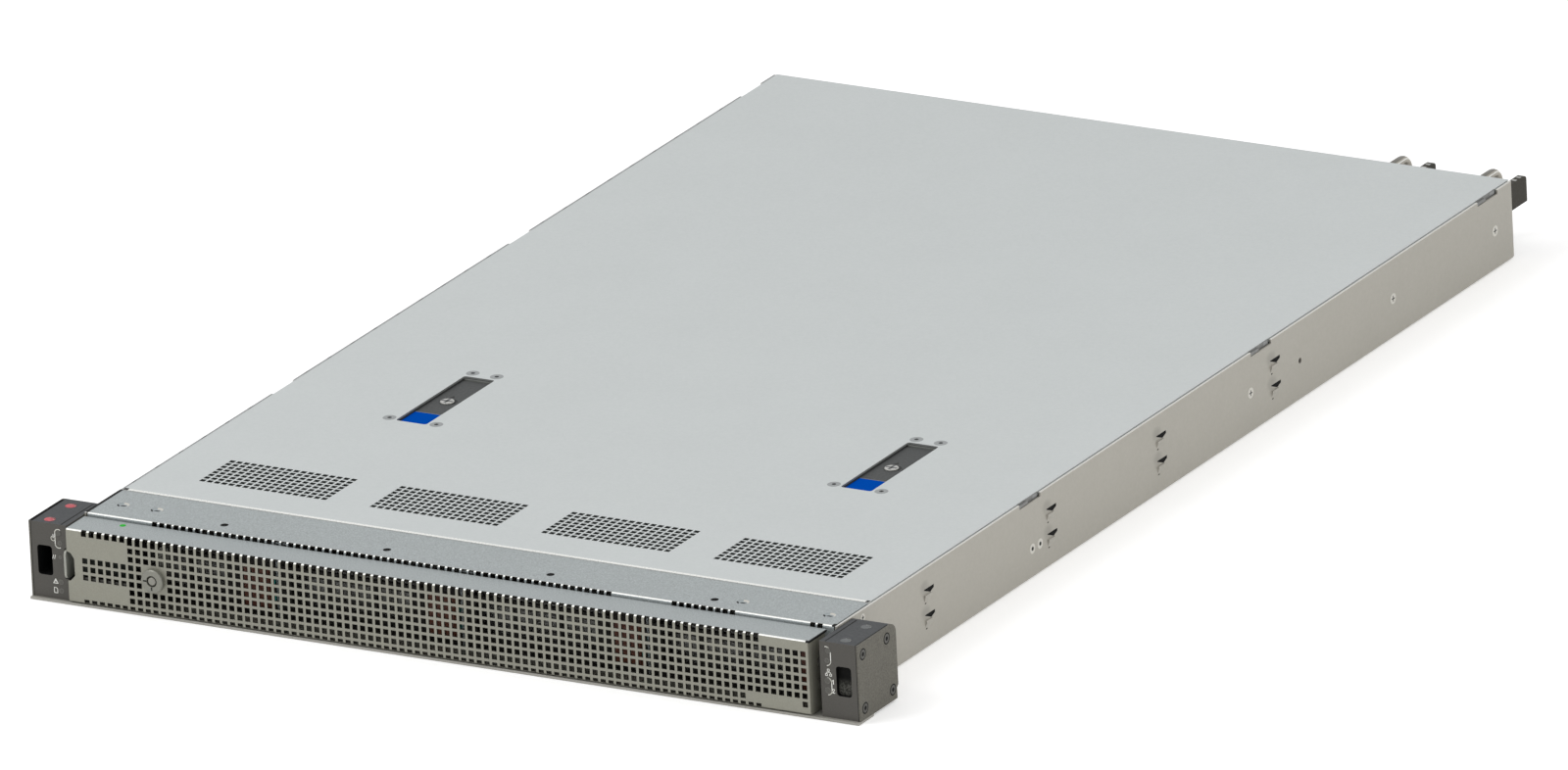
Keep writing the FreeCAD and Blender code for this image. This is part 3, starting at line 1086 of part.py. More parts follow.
def psu_catch(left):
    right = left + PSU_WIDTH - 0.5
    y0 = PSU_REAR + MOVE_GAP
    y1 = PSU_REAR + CATCH_REACH
    blade = extrude_x([(y0, CATCH_LOW + 1), (y0 + 1.6, CATCH_LOW), (y1, CATCH_LOW), (y1, CATCH_HIGH - 2.4),
                       (y1 - 2, CATCH_HIGH - 1.4), (y0, CATCH_HIGH)], right - CATCH_WIDTH, right)
    ribs = [box(right - CATCH_WIDTH, right, y - 0.8, y + 0.8, CATCH_HIGH - 3, CATCH_HIGH + 0.4)
            for y in (y0 + 8, y0 + 15)]
    return join([blade] + ribs)


# ---------------------------------------------------------------- write the nodes
def nodes():
    made = {
        "chassis_tray": chassis_tray(),
        "front_sill_plate": front_sill_plate(),
        "front_top_panel": front_top_panel(),
        "front_panel_screws": front_panel_screws(),
        "rear_panel": rear_panel(),
        "wall_fasteners": wall_fasteners(),
        "drive_cage_dividers": drive_cage_dividers(),
        "drive_carriers": group([drive_carrier(x) for x in BAY_CENTRES]),
        "carrier_levers": group([carrier_lever(x) for x in BAY_CENTRES]),
        "carrier_release_buttons": group([carrier_release_button(x) for x in BAY_CENTRES]),
        "hard_drives": group([hard_drive(x) for x in BAY_CENTRES]),
        "drive_light_pipes": drive_light_pipes(),
        "drive_backplane": drive_backplane(),
        "left_ear_housing": ear_housing(-1),
        "right_ear_housing": ear_housing(1),
        "ear_side_covers": ear_side_covers(),
        "ear_side_screws": ear_side_screws(),
        "ear_top_plugs": ear_top_plugs(),
        "ear_status_lights": ear_leds(),
        "power_button": ear_button(-1),
        "locate_button": ear_button(1),
        "bezel_panel": bezel_panel(),
        "bezel_latch_bracket": bezel_latch_bracket(),
        "bezel_release_tab": bezel_release_tab(),
        "bezel_lock_body": bezel_lock_body(),
        "bezel_lock_plug": bezel_lock_plug(),
        "bezel_status_light": bezel_status_light(),
        "bezel_hooks": group([bezel_hook(z) for z in HOOK_PLACES]),
        "top_cover": top_cover(),
        "cover_latch_housings": group([cover_latch_housing(side * LATCH_X) for side in (-1, 1)]),
        "cover_latch_screws": cover_latch_screws(),
        "cover_latch_pins": cover_latch_pins(),
        "fan_tray": fan_tray(),
        "fan_frames": group([fan_frame(x) for x in FAN_CENTRES]),
        "mainboard": mainboard(),
        "processor_coolers": group([processor_cooler(x) for x in PROCESSOR_CENTRES]),
        "memory_modules": memory_modules(),
        "riser_card": riser_card(),
        "expansion_card": expansion_card(),
        "rear_io_ports": group([rear_io_port(*port) for port in PORTS]),
        "psu_inlets": group([psu_inlet(left) for left in PSU_LEFTS]),
    }
    for name, side in (("left", -1), ("right", 1)):
        x = side * LATCH_X
        made[name + "_latch_handle"] = latch_handle(x)
        made[name + "_latch_pad"] = latch_pad(x)
        made[name + "_latch_turn_lock"] = latch_turn_lock(x)
    for n, x in enumerate(FAN_CENTRES, start=1):
        made["fan_rotor_%d" % n] = fan_rotor(x)
    for n, left in enumerate(PSU_LEFTS, start=1):
        made["psu_%d_case" % n] = psu_case(left)
        made["psu_%d_handle" % n] = psu_bail(left)
        made["psu_%d_catch" % n] = psu_catch(left)
    return made


def main():
    os.makedirs("parts", exist_ok=True)
    for name, shape in nodes().items():
        shape.exportStep(os.path.join("parts", name + ".step"))


main()
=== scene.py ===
import json
import math

import bmesh
import bpy
from mathutils import Matrix, Vector


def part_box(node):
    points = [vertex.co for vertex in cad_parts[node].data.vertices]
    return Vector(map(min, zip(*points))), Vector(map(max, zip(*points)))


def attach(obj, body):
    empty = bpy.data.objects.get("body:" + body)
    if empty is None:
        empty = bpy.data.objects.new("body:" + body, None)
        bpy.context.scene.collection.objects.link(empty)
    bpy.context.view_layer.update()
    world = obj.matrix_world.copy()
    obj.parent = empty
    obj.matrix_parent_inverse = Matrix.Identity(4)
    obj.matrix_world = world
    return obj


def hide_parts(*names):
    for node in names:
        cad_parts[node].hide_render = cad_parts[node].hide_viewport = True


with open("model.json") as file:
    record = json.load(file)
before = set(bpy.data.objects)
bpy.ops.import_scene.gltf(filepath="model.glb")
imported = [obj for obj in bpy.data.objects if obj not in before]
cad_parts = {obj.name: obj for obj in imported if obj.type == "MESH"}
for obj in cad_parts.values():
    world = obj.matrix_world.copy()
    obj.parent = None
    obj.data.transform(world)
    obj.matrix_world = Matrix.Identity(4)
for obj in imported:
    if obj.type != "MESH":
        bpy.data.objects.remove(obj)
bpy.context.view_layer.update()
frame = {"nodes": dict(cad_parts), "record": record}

nodes = frame["nodes"]
MM = 0.001


def box_mm(node):
    """Lowest and highest corner of a CAD node in millimetres."""
    low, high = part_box(node)
    return [v / MM for v in low], [v / MM for v in high]


# ------------------------------ materials
M = {}                        # by name


class Graph:
    """Small helper round the node tree of a material or the world."""

    def __init__(self, owner):
        owner.use_nodes = True
        self.tree = owner.node_tree

    def add(self, kind, **values):
        node = self.tree.nodes.new(kind)
        for key, value in values.items():
            setattr(node, key, value)
        return node

    def put(self, socket, value):
        """Sets an input, or links it where the value is another node's output."""
        if isinstance(value, bpy.types.NodeSocket):
            self.tree.links.new(value, socket)
        else:
            socket.default_value = value

    def fill(self, node, **values):
        """Puts values on a node's inputs by name, where "_" stands for a space."""
        for name, value in values.items():
            self.put(node.inputs[name.replace("_", " ")], value)
        return node

    def noise(self, scale, detail=2.0, rough=0.5):
        node = self.add("ShaderNodeTexNoise")
        self.fill(node, Scale=scale, Detail=detail, Roughness=rough, Vector=self.place)
        return node.outputs["Fac"]

    def ramp(self, value, low, high, from_low=0.3, from_high=0.7):
        node = self.add("ShaderNodeMapRange")
        self.fill(node, From_Min=from_low, From_Max=from_high, To_Min=low, To_Max=high, Value=value)
        return node.outputs["Result"]

    def math(self, operation, *values):
        node = self.add("ShaderNodeMath", operation=operation)
        for socket, value in zip(node.inputs, values):
            self.put(socket, value)
        return node.outputs[0]

    def axes(self, vector=None):
        split = self.add("ShaderNodeSeparateXYZ")
        self.put(split.inputs[0], vector or self.place)
        return split.outputs

    def nearest(self, value, places):
        """Distance from a coordinate to the nearest of some places, in millimetres."""
        found = None
        for place in places:
            apart = self.math("ABSOLUTE", self.math("SUBTRACT", value, place * MM))
            found = apart if found is None else self.math("MINIMUM", found, apart)
        return self.math("DIVIDE", found, MM)

    def mix(self, factor, colour_a, colour_b):
        node = self.add("ShaderNodeMix", data_type="RGBA")
        for number, value in ((0, factor), (6, colour_a), (7, colour_b)):
            self.put(node.inputs[number], value)
        return node.outputs[2]


class Paint(Graph):
    """Node tree of a new material, with its shader and the place on the object."""

    def __init__(self, name):
        self.material = bpy.data.materials.new(name)
        super().__init__(self.material)
        self.shader = self.tree.nodes["Principled BSDF"]
        self.place = self.add("ShaderNodeTexCoord").outputs["Object"]


def shade(colour, factor):
    return [min(max(c * factor, 0.0), 1.0) for c in colour[:3]] + [1.0]


def linear(r, g, b):
    """sRGB 0..255 to the linear colour of a shader."""
    def one(c):
        c = c / 255
        return c / 12.92 if c <= 0.04045 else ((c + 0.055) / 1.055) ** 2.4
    return [one(r), one(g), one(b), 1.0]


def surface(name, red, green, blue, rough=0.5, metallic=0.0, speckle=0.05, speckle_scale=1800.0,
            bump=0.05, edge=0.0, coat=0.0, glow=0.0, shine=0.5, rim=None, top=None, shades=None):
    """Painted, plated or moulded surface: fine speckle, slow cloudiness, painted highlights on edges, grain
    bump.

    red, green and blue are sRGB, 0..255.
    rim is a height in millimetres: the top edge above it gets a near-white painted highlight.
    top is the colour of faces that look up, a painted shade of them. shades are soft patches of painted
    shade at every pair of Y and Z given.
    """
    g = Paint(name)
    M[name] = g.material
    colour = linear(red, green, blue)
    fine = g.noise(speckle_scale, 3.0, 0.6)
    slow = g.noise(22.0, 3.0)
    base = g.mix(g.ramp(fine, 0.0, 1.0), shade(colour, 1 - speckle), shade(colour, 1 + speckle))
    base = g.mix(g.ramp(slow, 0.0, 0.1), base, shade(colour, 0.8))
    relief = g.add("ShaderNodeBump")
    # top: faces that look up get a painted shade colour
    if top:
        top_shade_mask = g.axes(g.add("ShaderNodeNewGeometry").outputs["True Normal"])["Z"]
        base = g.mix(g.ramp(top_shade_mask, 0.0, 1.0, 0.85, 0.95), base, top)
    # shades: soft darker patches, painted shade
    if shades:
        ys, zs, y_reach, z_reach = shades
        across = g.math("DIVIDE", g.nearest(g.axes()["Y"], ys), y_reach)
        upright = g.math("DIVIDE", g.nearest(g.axes()["Z"], zs), z_reach)
        away = g.math("ADD", g.math("MULTIPLY", across, across), g.math("MULTIPLY", upright, upright))
        base = g.mix(g.ramp(away, 0.8, 0.0, 0.1, 1.0), base, shade(colour, 0.72))
    # edge: a lighter colour on sharp edges, found with the bevel normal, is a painted highlight
    if edge > 0:
        rounded = g.fill(g.add("ShaderNodeBevel", samples=4), Radius=0.3 * MM).outputs["Normal"]
        dot = g.add("ShaderNodeVectorMath", operation="DOT_PRODUCT")
        g.put(dot.inputs[0], rounded)
        g.put(dot.inputs[1], g.add("ShaderNodeNewGeometry").outputs["True Normal"])
        edge_highlight = g.ramp(dot.outputs["Value"], edge, 0.0, 0.80, 0.985)
        base = g.mix(edge_highlight, base, shade([c ** 0.6 for c in colour[:3]], 1.25))
        g.fill(relief, Normal=rounded)
    # rim: near-white painted highlight along the top edge above that height
    if rim:
        rim_highlight = g.ramp(g.axes()["Z"], 0.0, 1.0, rim * MM - 0.00005, rim * MM)
        base = g.mix(rim_highlight, base, linear(214, 213, 208))
    if coat:
        g.fill(g.shader, Coat_Weight=coat, Coat_Roughness=0.15)
    if glow:
        g.fill(g.shader, Emission_Color=colour, Emission_Strength=glow)
    g.fill(relief, Strength=bump, Distance=0.0003, Height=g.noise(2500.0, 2.0, 0.6))
    g.fill(g.shader, Base_Color=base, Metallic=metallic, Specular_IOR_Level=shine,
           Roughness=g.ramp(g.noise(speckle_scale * 0.5, 2.0), rough - 0.06, rough + 0.08),
           Normal=relief.outputs["Normal"])


def window_mottle():
    """Black that turns into a grey mottle towards the bottom of the right ear's window."""
    g = Paint("window_mottle")
    M["window_mottle"] = g.material
    fade = g.ramp(g.axes()["Z"], 1.0, 0.0, 0.0175, 0.0225)
    spots = g.ramp(g.noise(1500.0, 3.0, 0.7), 0.1, 1.0, 0.38, 0.66)
    base = g.mix(g.math("MULTIPLY", fade, spots), linear(15, 15, 14), linear(104, 104, 98))
    g.fill(g.shader, Base_Color=base, Roughness=g.ramp(g.noise(700.0), 0.6, 0.8), Specular_IOR_Level=0.1)


# sizes of the CAD model that several sections use, in millimetres
SHEET = 1.0
WALL_FACE = 219.0             # outer face of a chassis wall
WALL_INSIDE = WALL_FACE - SHEET
WALL_TOP = 42.8
WALL_REAR = 731.5
HOOKS_Y = (112.5, 239.8, 355.3, 476.3)        # middles of the openings of the rail hooks
HOOKS_Z = (31.7, 18.2)
EAR_SIDE = 241.3
EAR_TOP = 41.8
SCREW_PLATE_Y = 729.5         # front face of the expansion card's bracket
BOARD_TOP = 30.5              # of the expansion card, where its cooler starts


# tray steel: painted highlight along the walls' top edge (rim) and painted shade round the rail hooks'
# openings (shades)
surface("tray_steel", 170, 167, 158, 0.42, 0.2, 0.04, 900, bump=0.03, edge=0.4, rim=42.5,
        shades=([y - 4.4 for y in HOOKS_Y], [z + 1.2 for z in HOOKS_Z], 5.5, 4.2))
window_mottle()
# mid grey of painted shade: latch wells' walls, the pads' rear edges and the strip in the gap inside the
# right wall
surface("shaded_edge_grey", 128, 130, 129, shine=0.2)
surface("bail_shade", 122, 120, 114, 0.35, 0.3, shine=0.3)
surface("lid_steel", 201, 206, 206, 0.46, 0.15, 0.03, 900, bump=0.03, edge=0.5)
surface("panel_steel", 157, 164, 165, 0.40, 0.25, 0.32, 1500, bump=0.16, edge=0.3)
# near-white painted highlight on bends, on the lid's front edge and on the handle bars
surface("painted_highlight", 238, 239, 235, 0.3, 0.2, 0.03)
surface("sill_aluminium", 166, 164, 157, 0.45, 0.1, 0.04, edge=0.5)
surface("bezel_paint", 147, 146, 134, 0.42, 0.2, 0.08, 1500, bump=0.08, edge=0.3)
surface("tab_paint", 160, 161, 152, 0.38, 0.1, edge=0.7)
# dark painted shade for the release tab's faces inside the notch
surface("tab_inner_shade", 46, 52, 46, shine=0.2)
surface("bracket_steel", 62, 61, 57, 0.5, 0.2, edge=0.4)
# ear paint: its top colour is painted shade, darker and bluer on the ears' upward faces
surface("ear_paint", 89, 87, 83, 0.6, 0.0, 0.09, 1400, bump=0.12, edge=0.3, shine=0.2,
        top=linear(73, 75, 77))
surface("ear_cover_paint", 104, 102, 94, 0.55, 0.0, 0.34, 1300, bump=0.4, edge=0.3, shine=0.2)
surface("ear_screw_steel", 70, 69, 64, 0.45, 0.1, 0.08)
surface("panel_screw_steel", 160, 168, 170, 0.34, 0.3, 0.08, edge=0.6)
surface("wall_screw_steel", 206, 204, 196, 0.36, 0.2)
surface("latch_screw_steel", 145, 149, 150, 0.4, 0.2)
surface("pin_steel", 150, 150, 150, 0.3, 0.8, 0.06)
surface("plug_plastic", 192, 84, 92, 0.5, 0.0, 0.3, 700, bump=0.3, shine=0.3)
surface("plug_grey", 92, 95, 96, 0.45, 0.0, 0.25, 700, bump=0.3, shine=0.3)
surface("lamp_plastic", 60, 60, 60, 0.25, shine=0.4)
surface("button_plastic", 92, 91, 86, 0.45, edge=0.7, shine=0.3)
surface("lock_chrome", 133, 133, 124, 0.33, 0.35, 0.04, bump=0.03, edge=0.6)
surface("lock_plug_steel", 140, 139, 131, 0.36, 0.4, 0.04, edge=0.3)
surface("green_light", 24, 168, 36, 0.4, 0.0, 0.08, 600, glow=0.12, shine=0.1)
surface("latch_tub", 66, 68, 68, 0.6, 0.0, 0.06, shine=0.2)
surface("latch_black", 75, 77, 77, 0.6, 0.0, 0.09, 1400, bump=0.12, edge=0.3, shine=0.2)
surface("latch_blue", 3, 78, 180, 0.6, 0.0, 0.04, bump=0.06, edge=0.15, shine=0.0)
surface("turn_lock_steel", 178, 178, 174, 0.28, 0.5, edge=0.5)
surface("carrier_black", 38, 36, 32, 0.5, 0.0, 0.10, edge=0.4, shine=0.3)
surface("release_red", 112, 60, 40, 0.4, 0.0, 0.08, edge=0.3)
surface("drive_aluminium", 150, 150, 146, 0.4, 0.7, 0.06)
surface("light_pipe_teal", 24, 150, 140, 0.3, 0.0, 0.08, coat=0.4, glow=0.5)
surface("board_green", 38, 84, 56, 0.5, 0.0, 0.15, 500, bump=0.15)
surface("memory_green", 34, 92, 58, 0.45, 0.0, 0.15, 400, bump=0.15)
surface("cooler_aluminium", 178, 178, 176, 0.35, 0.8)
surface("fan_black", 44, 44, 44, 0.5, 0.0, 0.06)
surface("rotor_black", 58, 58, 58, 0.45, 0.0, 0.06)
surface("port_steel", 176, 176, 172, 0.32, 0.7, 0.04, edge=0.4)
surface("psu_steel", 150, 153, 152, 0.4, 0.5, 0.08, 1000, bump=0.1, edge=0.5)
surface("inlet_black", 34, 34, 34)
surface("bail_steel", 172, 167, 156, 0.32, 0.4, 0.04)
surface("catch_plastic", 62, 60, 54, 0.6, 0.0, 0.06, edge=0.3, shine=0.15)
# white print that also glows: the glow is painted light
surface("print_white", 235, 235, 230, 0.6, glow=0.15)
# dark print, and painted shade in screw drives, the dished screw places and round the turn locks
surface("print_dark", 36, 38, 38, 0.6, shine=0.2)
surface("deep_black", 14, 14, 14, 0.7, shine=0.1)
surface("rear_band", 122, 124, 121, 0.5, 0.0, 0.06, shine=0.3)
surface("pad_edge_highlight", 70, 130, 214, shine=0.3)
# dark walls of the bezel's and front panel's holes: painted shade inside the holes
surface("hole_wall_shade", 46, 44, 39, 0.6, shine=0.1)
# darker walls of the lid's vent holes: painted shade inside the holes
surface("vent_wall_shade", 70, 74, 73, 0.6, shine=0.2)
# mid grey painted shade on the lid's hem and edge seen through the wall notches
surface("hem_shade_grey", 126, 127, 126)
# light grey painted highlights: crescents on the ear plugs and tops of the catch ribs
surface("highlight_grey", 176, 176, 172)
# grey painted shade on the left wall's top edge and on strips by the notches
surface("shaded_rim_grey", 150, 152, 153, 0.5, 0.0, 0.04)
# dark grey painted shade in the left rim's dimples and the turn locks' cross slots
surface("recess_shade_grey", 92, 94, 95, 0.5, 0.0, 0.04)
surface("seam_black", 30, 30, 30, 0.6, shine=0.1)

RECORD_SLOTS = set()
for entry in frame["record"]["subparts"]:
    RECORD_SLOTS.add(entry["material_slot"])
    mesh = nodes[entry["node"]].data
    mesh.materials.clear()
    mesh.materials.append(M[entry["material_slot"]])


def repaint(node, material, chosen):
    """Another material on the faces of a CAD node for which chosen(x, y, z) of the face's middle holds."""
    mesh = nodes[node].data
    mesh.materials.append(M[material])
    low = box_mm(node)[0]
    shift = [low[k] - min(v.co[k] for v in mesh.vertices) / MM for k in range(3)]
    for polygon in mesh.polygons:
        if chosen(*[polygon.center[k] / MM + shift[k] for k in range(3)]):
            polygon.material_index = len(mesh.materials) - 1


def in_window(x, y, z):
    """Inner walls of an ear's window."""
    return 228.0 < abs(x) < 237.1 and 0.3 < y < 30.0 and 13.3 < z < 29.6


repaint("expansion_card", "port_steel", lambda x, y, z: y > SCREW_PLATE_Y)
repaint("expansion_card", "cooler_aluminium", lambda x, y, z: y < SCREW_PLATE_Y and z > BOARD_TOP)
# the release tab's faces inside the notch get a dark painted shade
repaint("bezel_release_tab", "tab_inner_shade", lambda x, y, z: x > -WALL_INSIDE)
# the ears' windows get black walls: painted shade inside the windows
for word in ("left", "right"):
    repaint(word + "_ear_housing", "deep_black", in_window)


# ------------------------------ making pieces
def add_object(name, data):
    obj = bpy.data.objects.new(name, data)
    bpy.context.scene.collection.objects.link(obj)
    return obj


def add_piece(name, shape, materials, body, *replaced, bevel=0.0, slot=None):
    """Adds a Mesher or a mesh as a piece of the body, in the place of the CAD nodes that it replaces.

    materials is one name, or one for each material index.
    """
    names = [materials] if isinstance(materials, str) else materials
    mesh = shape.mesh(name) if isinstance(shape, Mesher) else shape
    obj = add_object(name, mesh)
    for material in names:
        mesh.materials.append(M[material])
    if bevel:
        modifier = obj.modifiers.new("bevel", "BEVEL")
        modifier.width = bevel * MM
        modifier.segments = 2
        modifier.limit_method = "ANGLE"
        modifier.angle_limit = math.radians(40)
        obj.modifiers.new("normals", "WEIGHTED_NORMAL")
    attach(obj, body)
    if replaced:
        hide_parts(*replaced)
    slot = slot or names[0]
    return obj


class Mesher:
    """Collects polygons in millimetres, with shared corners. paint is the material index of new faces."""

    def __init__(self):
        self.points = []
        self.index = {}
        self.faces = []
        self.paints = []
        self.paint = 0

    def corner(self, point):
        key = tuple(round(c, 4) for c in point)
        if key not in self.index:
            self.index[key] = len(self.points)
            self.points.append([c * MM for c in point])
        return self.index[key]

    def face(self, points):
        ids = [self.corner(p) for p in points]
        ids = [n for k, n in enumerate(ids) if n != ids[k - 1]]
        if len(set(ids)) > 2:
            self.faces.append(ids)
            self.paints.append(self.paint)

    def mesh(self, name):
        data = bpy.data.meshes.new(name)
        data.from_pydata(self.points, [], self.faces)
        for polygon, paint in zip(data.polygons, self.paints):
            polygon.material_index = paint
        work = bmesh.new()
        work.from_mesh(data)
        bmesh.ops.recalc_face_normals(work, faces=work.faces)
        work.to_mesh(data)
        work.free()
        return data

    def slab(self, outline, place, near, far):
        """Prism between two levels: place(u, v, level) gives the point."""
        self.face([place(u, v, near) for u, v in outline])
        self.face([place(u, v, far) for u, v in reversed(outline)])
        for k, (u, v) in enumerate(outline):
            u2, v2 = outline[k - 1]
            self.face([place(u, v, near), place(u2, v2, near), place(u2, v2, far), place(u, v, far)])

    def box(self, x0, x1, y0, y1, z0, z1):
        self.slab([(x0, y0), (x1, y0), (x1, y1), (x0, y1)], lambda u, v, w: (u, v, w), z0, z1)

    def turned(self, profile, place, segments):
        """Body of revolution: profile is (radius, level); place(u, v, level) gives the point."""
        turns = [2 * math.pi * k / segments for k in range(segments)]
        rings = [[place(radius * math.cos(turn), radius * math.sin(turn), level) for turn in turns]
                 for radius, level in profile]
        for ring, after in zip(rings, rings[1:]):
            for k in range(segments):
                self.face([ring[k - 1], ring[k], after[k], after[k - 1]])

    def ribbon(self, line, width, place, near, far, closed=False):
        """Drawn line of a given width as a thin slab."""
        for a, b in zip(line, line[1:] + (line[:1] if closed else [])):
            dx, dy = b[0] - a[0], b[1] - a[1]
            length = math.hypot(dx, dy)
            nx, ny = -dy / length * width / 2, dx / length * width / 2
            ex, ey = dx / length * width / 2, dy / length * width / 2
            corners = [(a[0] + nx - ex, a[1] + ny - ey), (a[0] - nx - ex, a[1] - ny - ey),
                       (b[0] - nx + ex, b[1] - ny + ey), (b[0] + nx + ex, b[1] + ny + ey)]
            self.slab(corners, place, near, far)


def add_boxes(name, material, body, *boxes):
    """Piece made of boxes, each given as x0, x1, y0, y1, z0, z1."""
    work = Mesher()
    for sides in boxes:
        work.box(*sides)
    add_piece(name, work, material, body)


def both_ways(side, x0, x1):
    """The two places at one side of the server in rising order."""
    return sorted((side * x0, side * x1))


def skin(level):
    """Levels of a thin line that lies on a surface."""
    return level - 0.1, level + 0.03


def front_view(x0, z0, y0):
    """Drawing plane XZ, levels going to the rear."""
    return lambda u, v, level: (x0 + u, y0 + level, z0 + v)


def top_view(x0, y0, z0):
    """Drawing plane XY, levels going up."""
    return lambda u, v, level: (x0 + u, y0 + v, z0 + level)


def side_view(x0, y0, z0, sign):
    """Drawing plane YZ, levels going outwards."""
    return lambda u, v, level: (x0 + sign * level, y0 + u, z0 + v)


def arc(cx, cy, radius, start, end, steps=8):
    turns = [math.radians(start + (end - start) * k / steps) for k in range(steps + 1)]
    return [(cx + radius * math.cos(turn), cy + radius * math.sin(turn)) for turn in turns]


def clip(polygon, a, b):
    """Part of a convex polygon to the right of the line from a to b."""
    def side(p):
        return (b[0] - a[0]) * (p[1] - a[1]) - (b[1] - a[1]) * (p[0] - a[0])
    kept = []
    for k, point in enumerate(polygon):
        before = polygon[k - 1]
        s, t = side(before), side(point)
        if (s < -1e-9 and t > 1e-9) or (s > 1e-9 and t < -1e-9):
            share = s / (s - t)
            kept.append(tuple(p + (q - p) * share for p, q in zip(before, point)))
        if t <= 1e-9:
            kept.append(point)
    return kept


def round_hole_cell(corners, cx, cy, radius):
    """Rectangle round a hole as four polygons. corners start at the lower left and go round."""
    return [[corners[k], corners[(k + 1) % 4]] + arc(cx, cy, radius, 315 + 90 * k, 225 + 90 * k, 7)
            for k in range(4)]


def bent_sheet(name, us, vs, cell, place, paint=None, hole_paint=None):
    """Sheet metal with openings, SHEET thick. us and vs divide it into cells.

    cell(u, v, corners) gives the solid polygons of the cell with these corners and (u, v) in its middle.
    place(u, v, depth) gives the point at a depth below the outer surface. Every edge that belongs to one
    polygon only gets a wall, so holes and rims close by themselves. paint(v) gives the material index,
    hole_paint(v) the one of the walls of holes.
    """
    work = Mesher()
    edges = {}
    for u0, u1 in zip(us, us[1:]):
        for v0, v1 in zip(vs, vs[1:]):
            middle = (v0 + v1) / 2
            for polygon in cell((u0 + u1) / 2, middle, [(u0, v0), (u1, v0), (u1, v1), (u0, v1)]):
                work.paint = paint(middle) if paint else 0
                work.face([place(u, v, 0) for u, v in polygon])
                work.face([place(u, v, SHEET) for u, v in reversed(polygon)])
                for a, b in zip(polygon[-1:] + polygon, polygon):
                    key = frozenset(tuple(round(c, 4) for c in end) for end in (a, b))
                    if len(key) == 2:
                        edges.setdefault(key, []).append((a, b, work.paint))
    for found in edges.values():
        if len(found) == 1:
            a, b, work.paint = found[0]
            rim = any(abs(a[k] - end) + abs(b[k] - end) < 1e-4
                      for k, ends in enumerate((us, vs)) for end in (ends[0], ends[-1]))
            if hole_paint and not rim:
                work.paint = hole_paint((a[1] + b[1]) / 2)
            work.face([place(*a, 0), place(*b, 0), place(*b, SHEET), place(*a, SHEET)])
    return work.mesh(name)


def bent_profile(y, z, dy, dz, radius, *straights):
    """place(u, v, depth) of a sheet that is bent across X, v being the length along its outer surface.

    It starts at (y, z) in the direction (dy, dz), and right-angled bends join its straight stretches.
    """
    quarter = radius * math.pi / 2

    def place(u, v, depth):
        y0, z0, along_y, along_z = y, z, dy, dz
        for k, length in enumerate(straights):
            if v <= length or k + 1 == len(straights):
                return u, y0 + along_y * v + along_z * depth, z0 + along_z * v - along_y * depth
            v -= length
            y0 += along_y * length + along_z * radius
            z0 += along_z * length - along_y * radius
            if v <= quarter:
                c, s = math.cos(v / radius) * (radius - depth), math.sin(v / radius) * (radius - depth)
                return u, y0 - along_z * c + along_y * s, z0 + along_y * c + along_z * s
            v -= quarter
            y0, z0 = y0 + along_y * radius, z0 + along_z * radius
            along_y, along_z = along_z, -along_y
    return place


def bend_levels(start, quarter):
    """Lengths along a sheet at which its bend is divided."""
    return [start + quarter * k / BEND_STEPS for k in range(BEND_STEPS + 1)]


def both_edges(middles, half):
    return [middle + side * half for middle in middles for side in (-1, 1)]


def merged(values):
    out = []
    for value in sorted(values):
        if not out or value - out[-1] > 1e-4:
            out.append(value)
    return out


# ------------------------------ bezel
PITCH = 4.5
HOLE = 3.0
COLUMNS = 94
BEND_COLUMNS = 88             # columns that go on over the bends
PLAIN_COLUMNS = 6             # plain left part, with only the middle rows and the ones on the bends
NAME_COLUMNS = (86, 92)       # plain place in the lowest full row
LOCK_COLUMN = 9
BEND = 1.6
BEND_STEPS = 5
BEZEL_LOW, BEZEL_HIGH = box_mm("bezel_panel")
FLOOR_REAR = 11.0             # rear edge of the lower flange
FIRST = BEZEL_LOW[0] + 10.45  # middle of the first column
LOCK_X = FIRST + LOCK_COLUMN * PITCH
LOCK_Z = BEZEL_LOW[2] + 19.0
# notch for the release tab: distances from the left edge, and heights
TAB_NOTCH = ((1.4, 13.2), (4.2, 16.1), (4.2, 25.3), (2.2, 28.2), (0.0, 29.0))


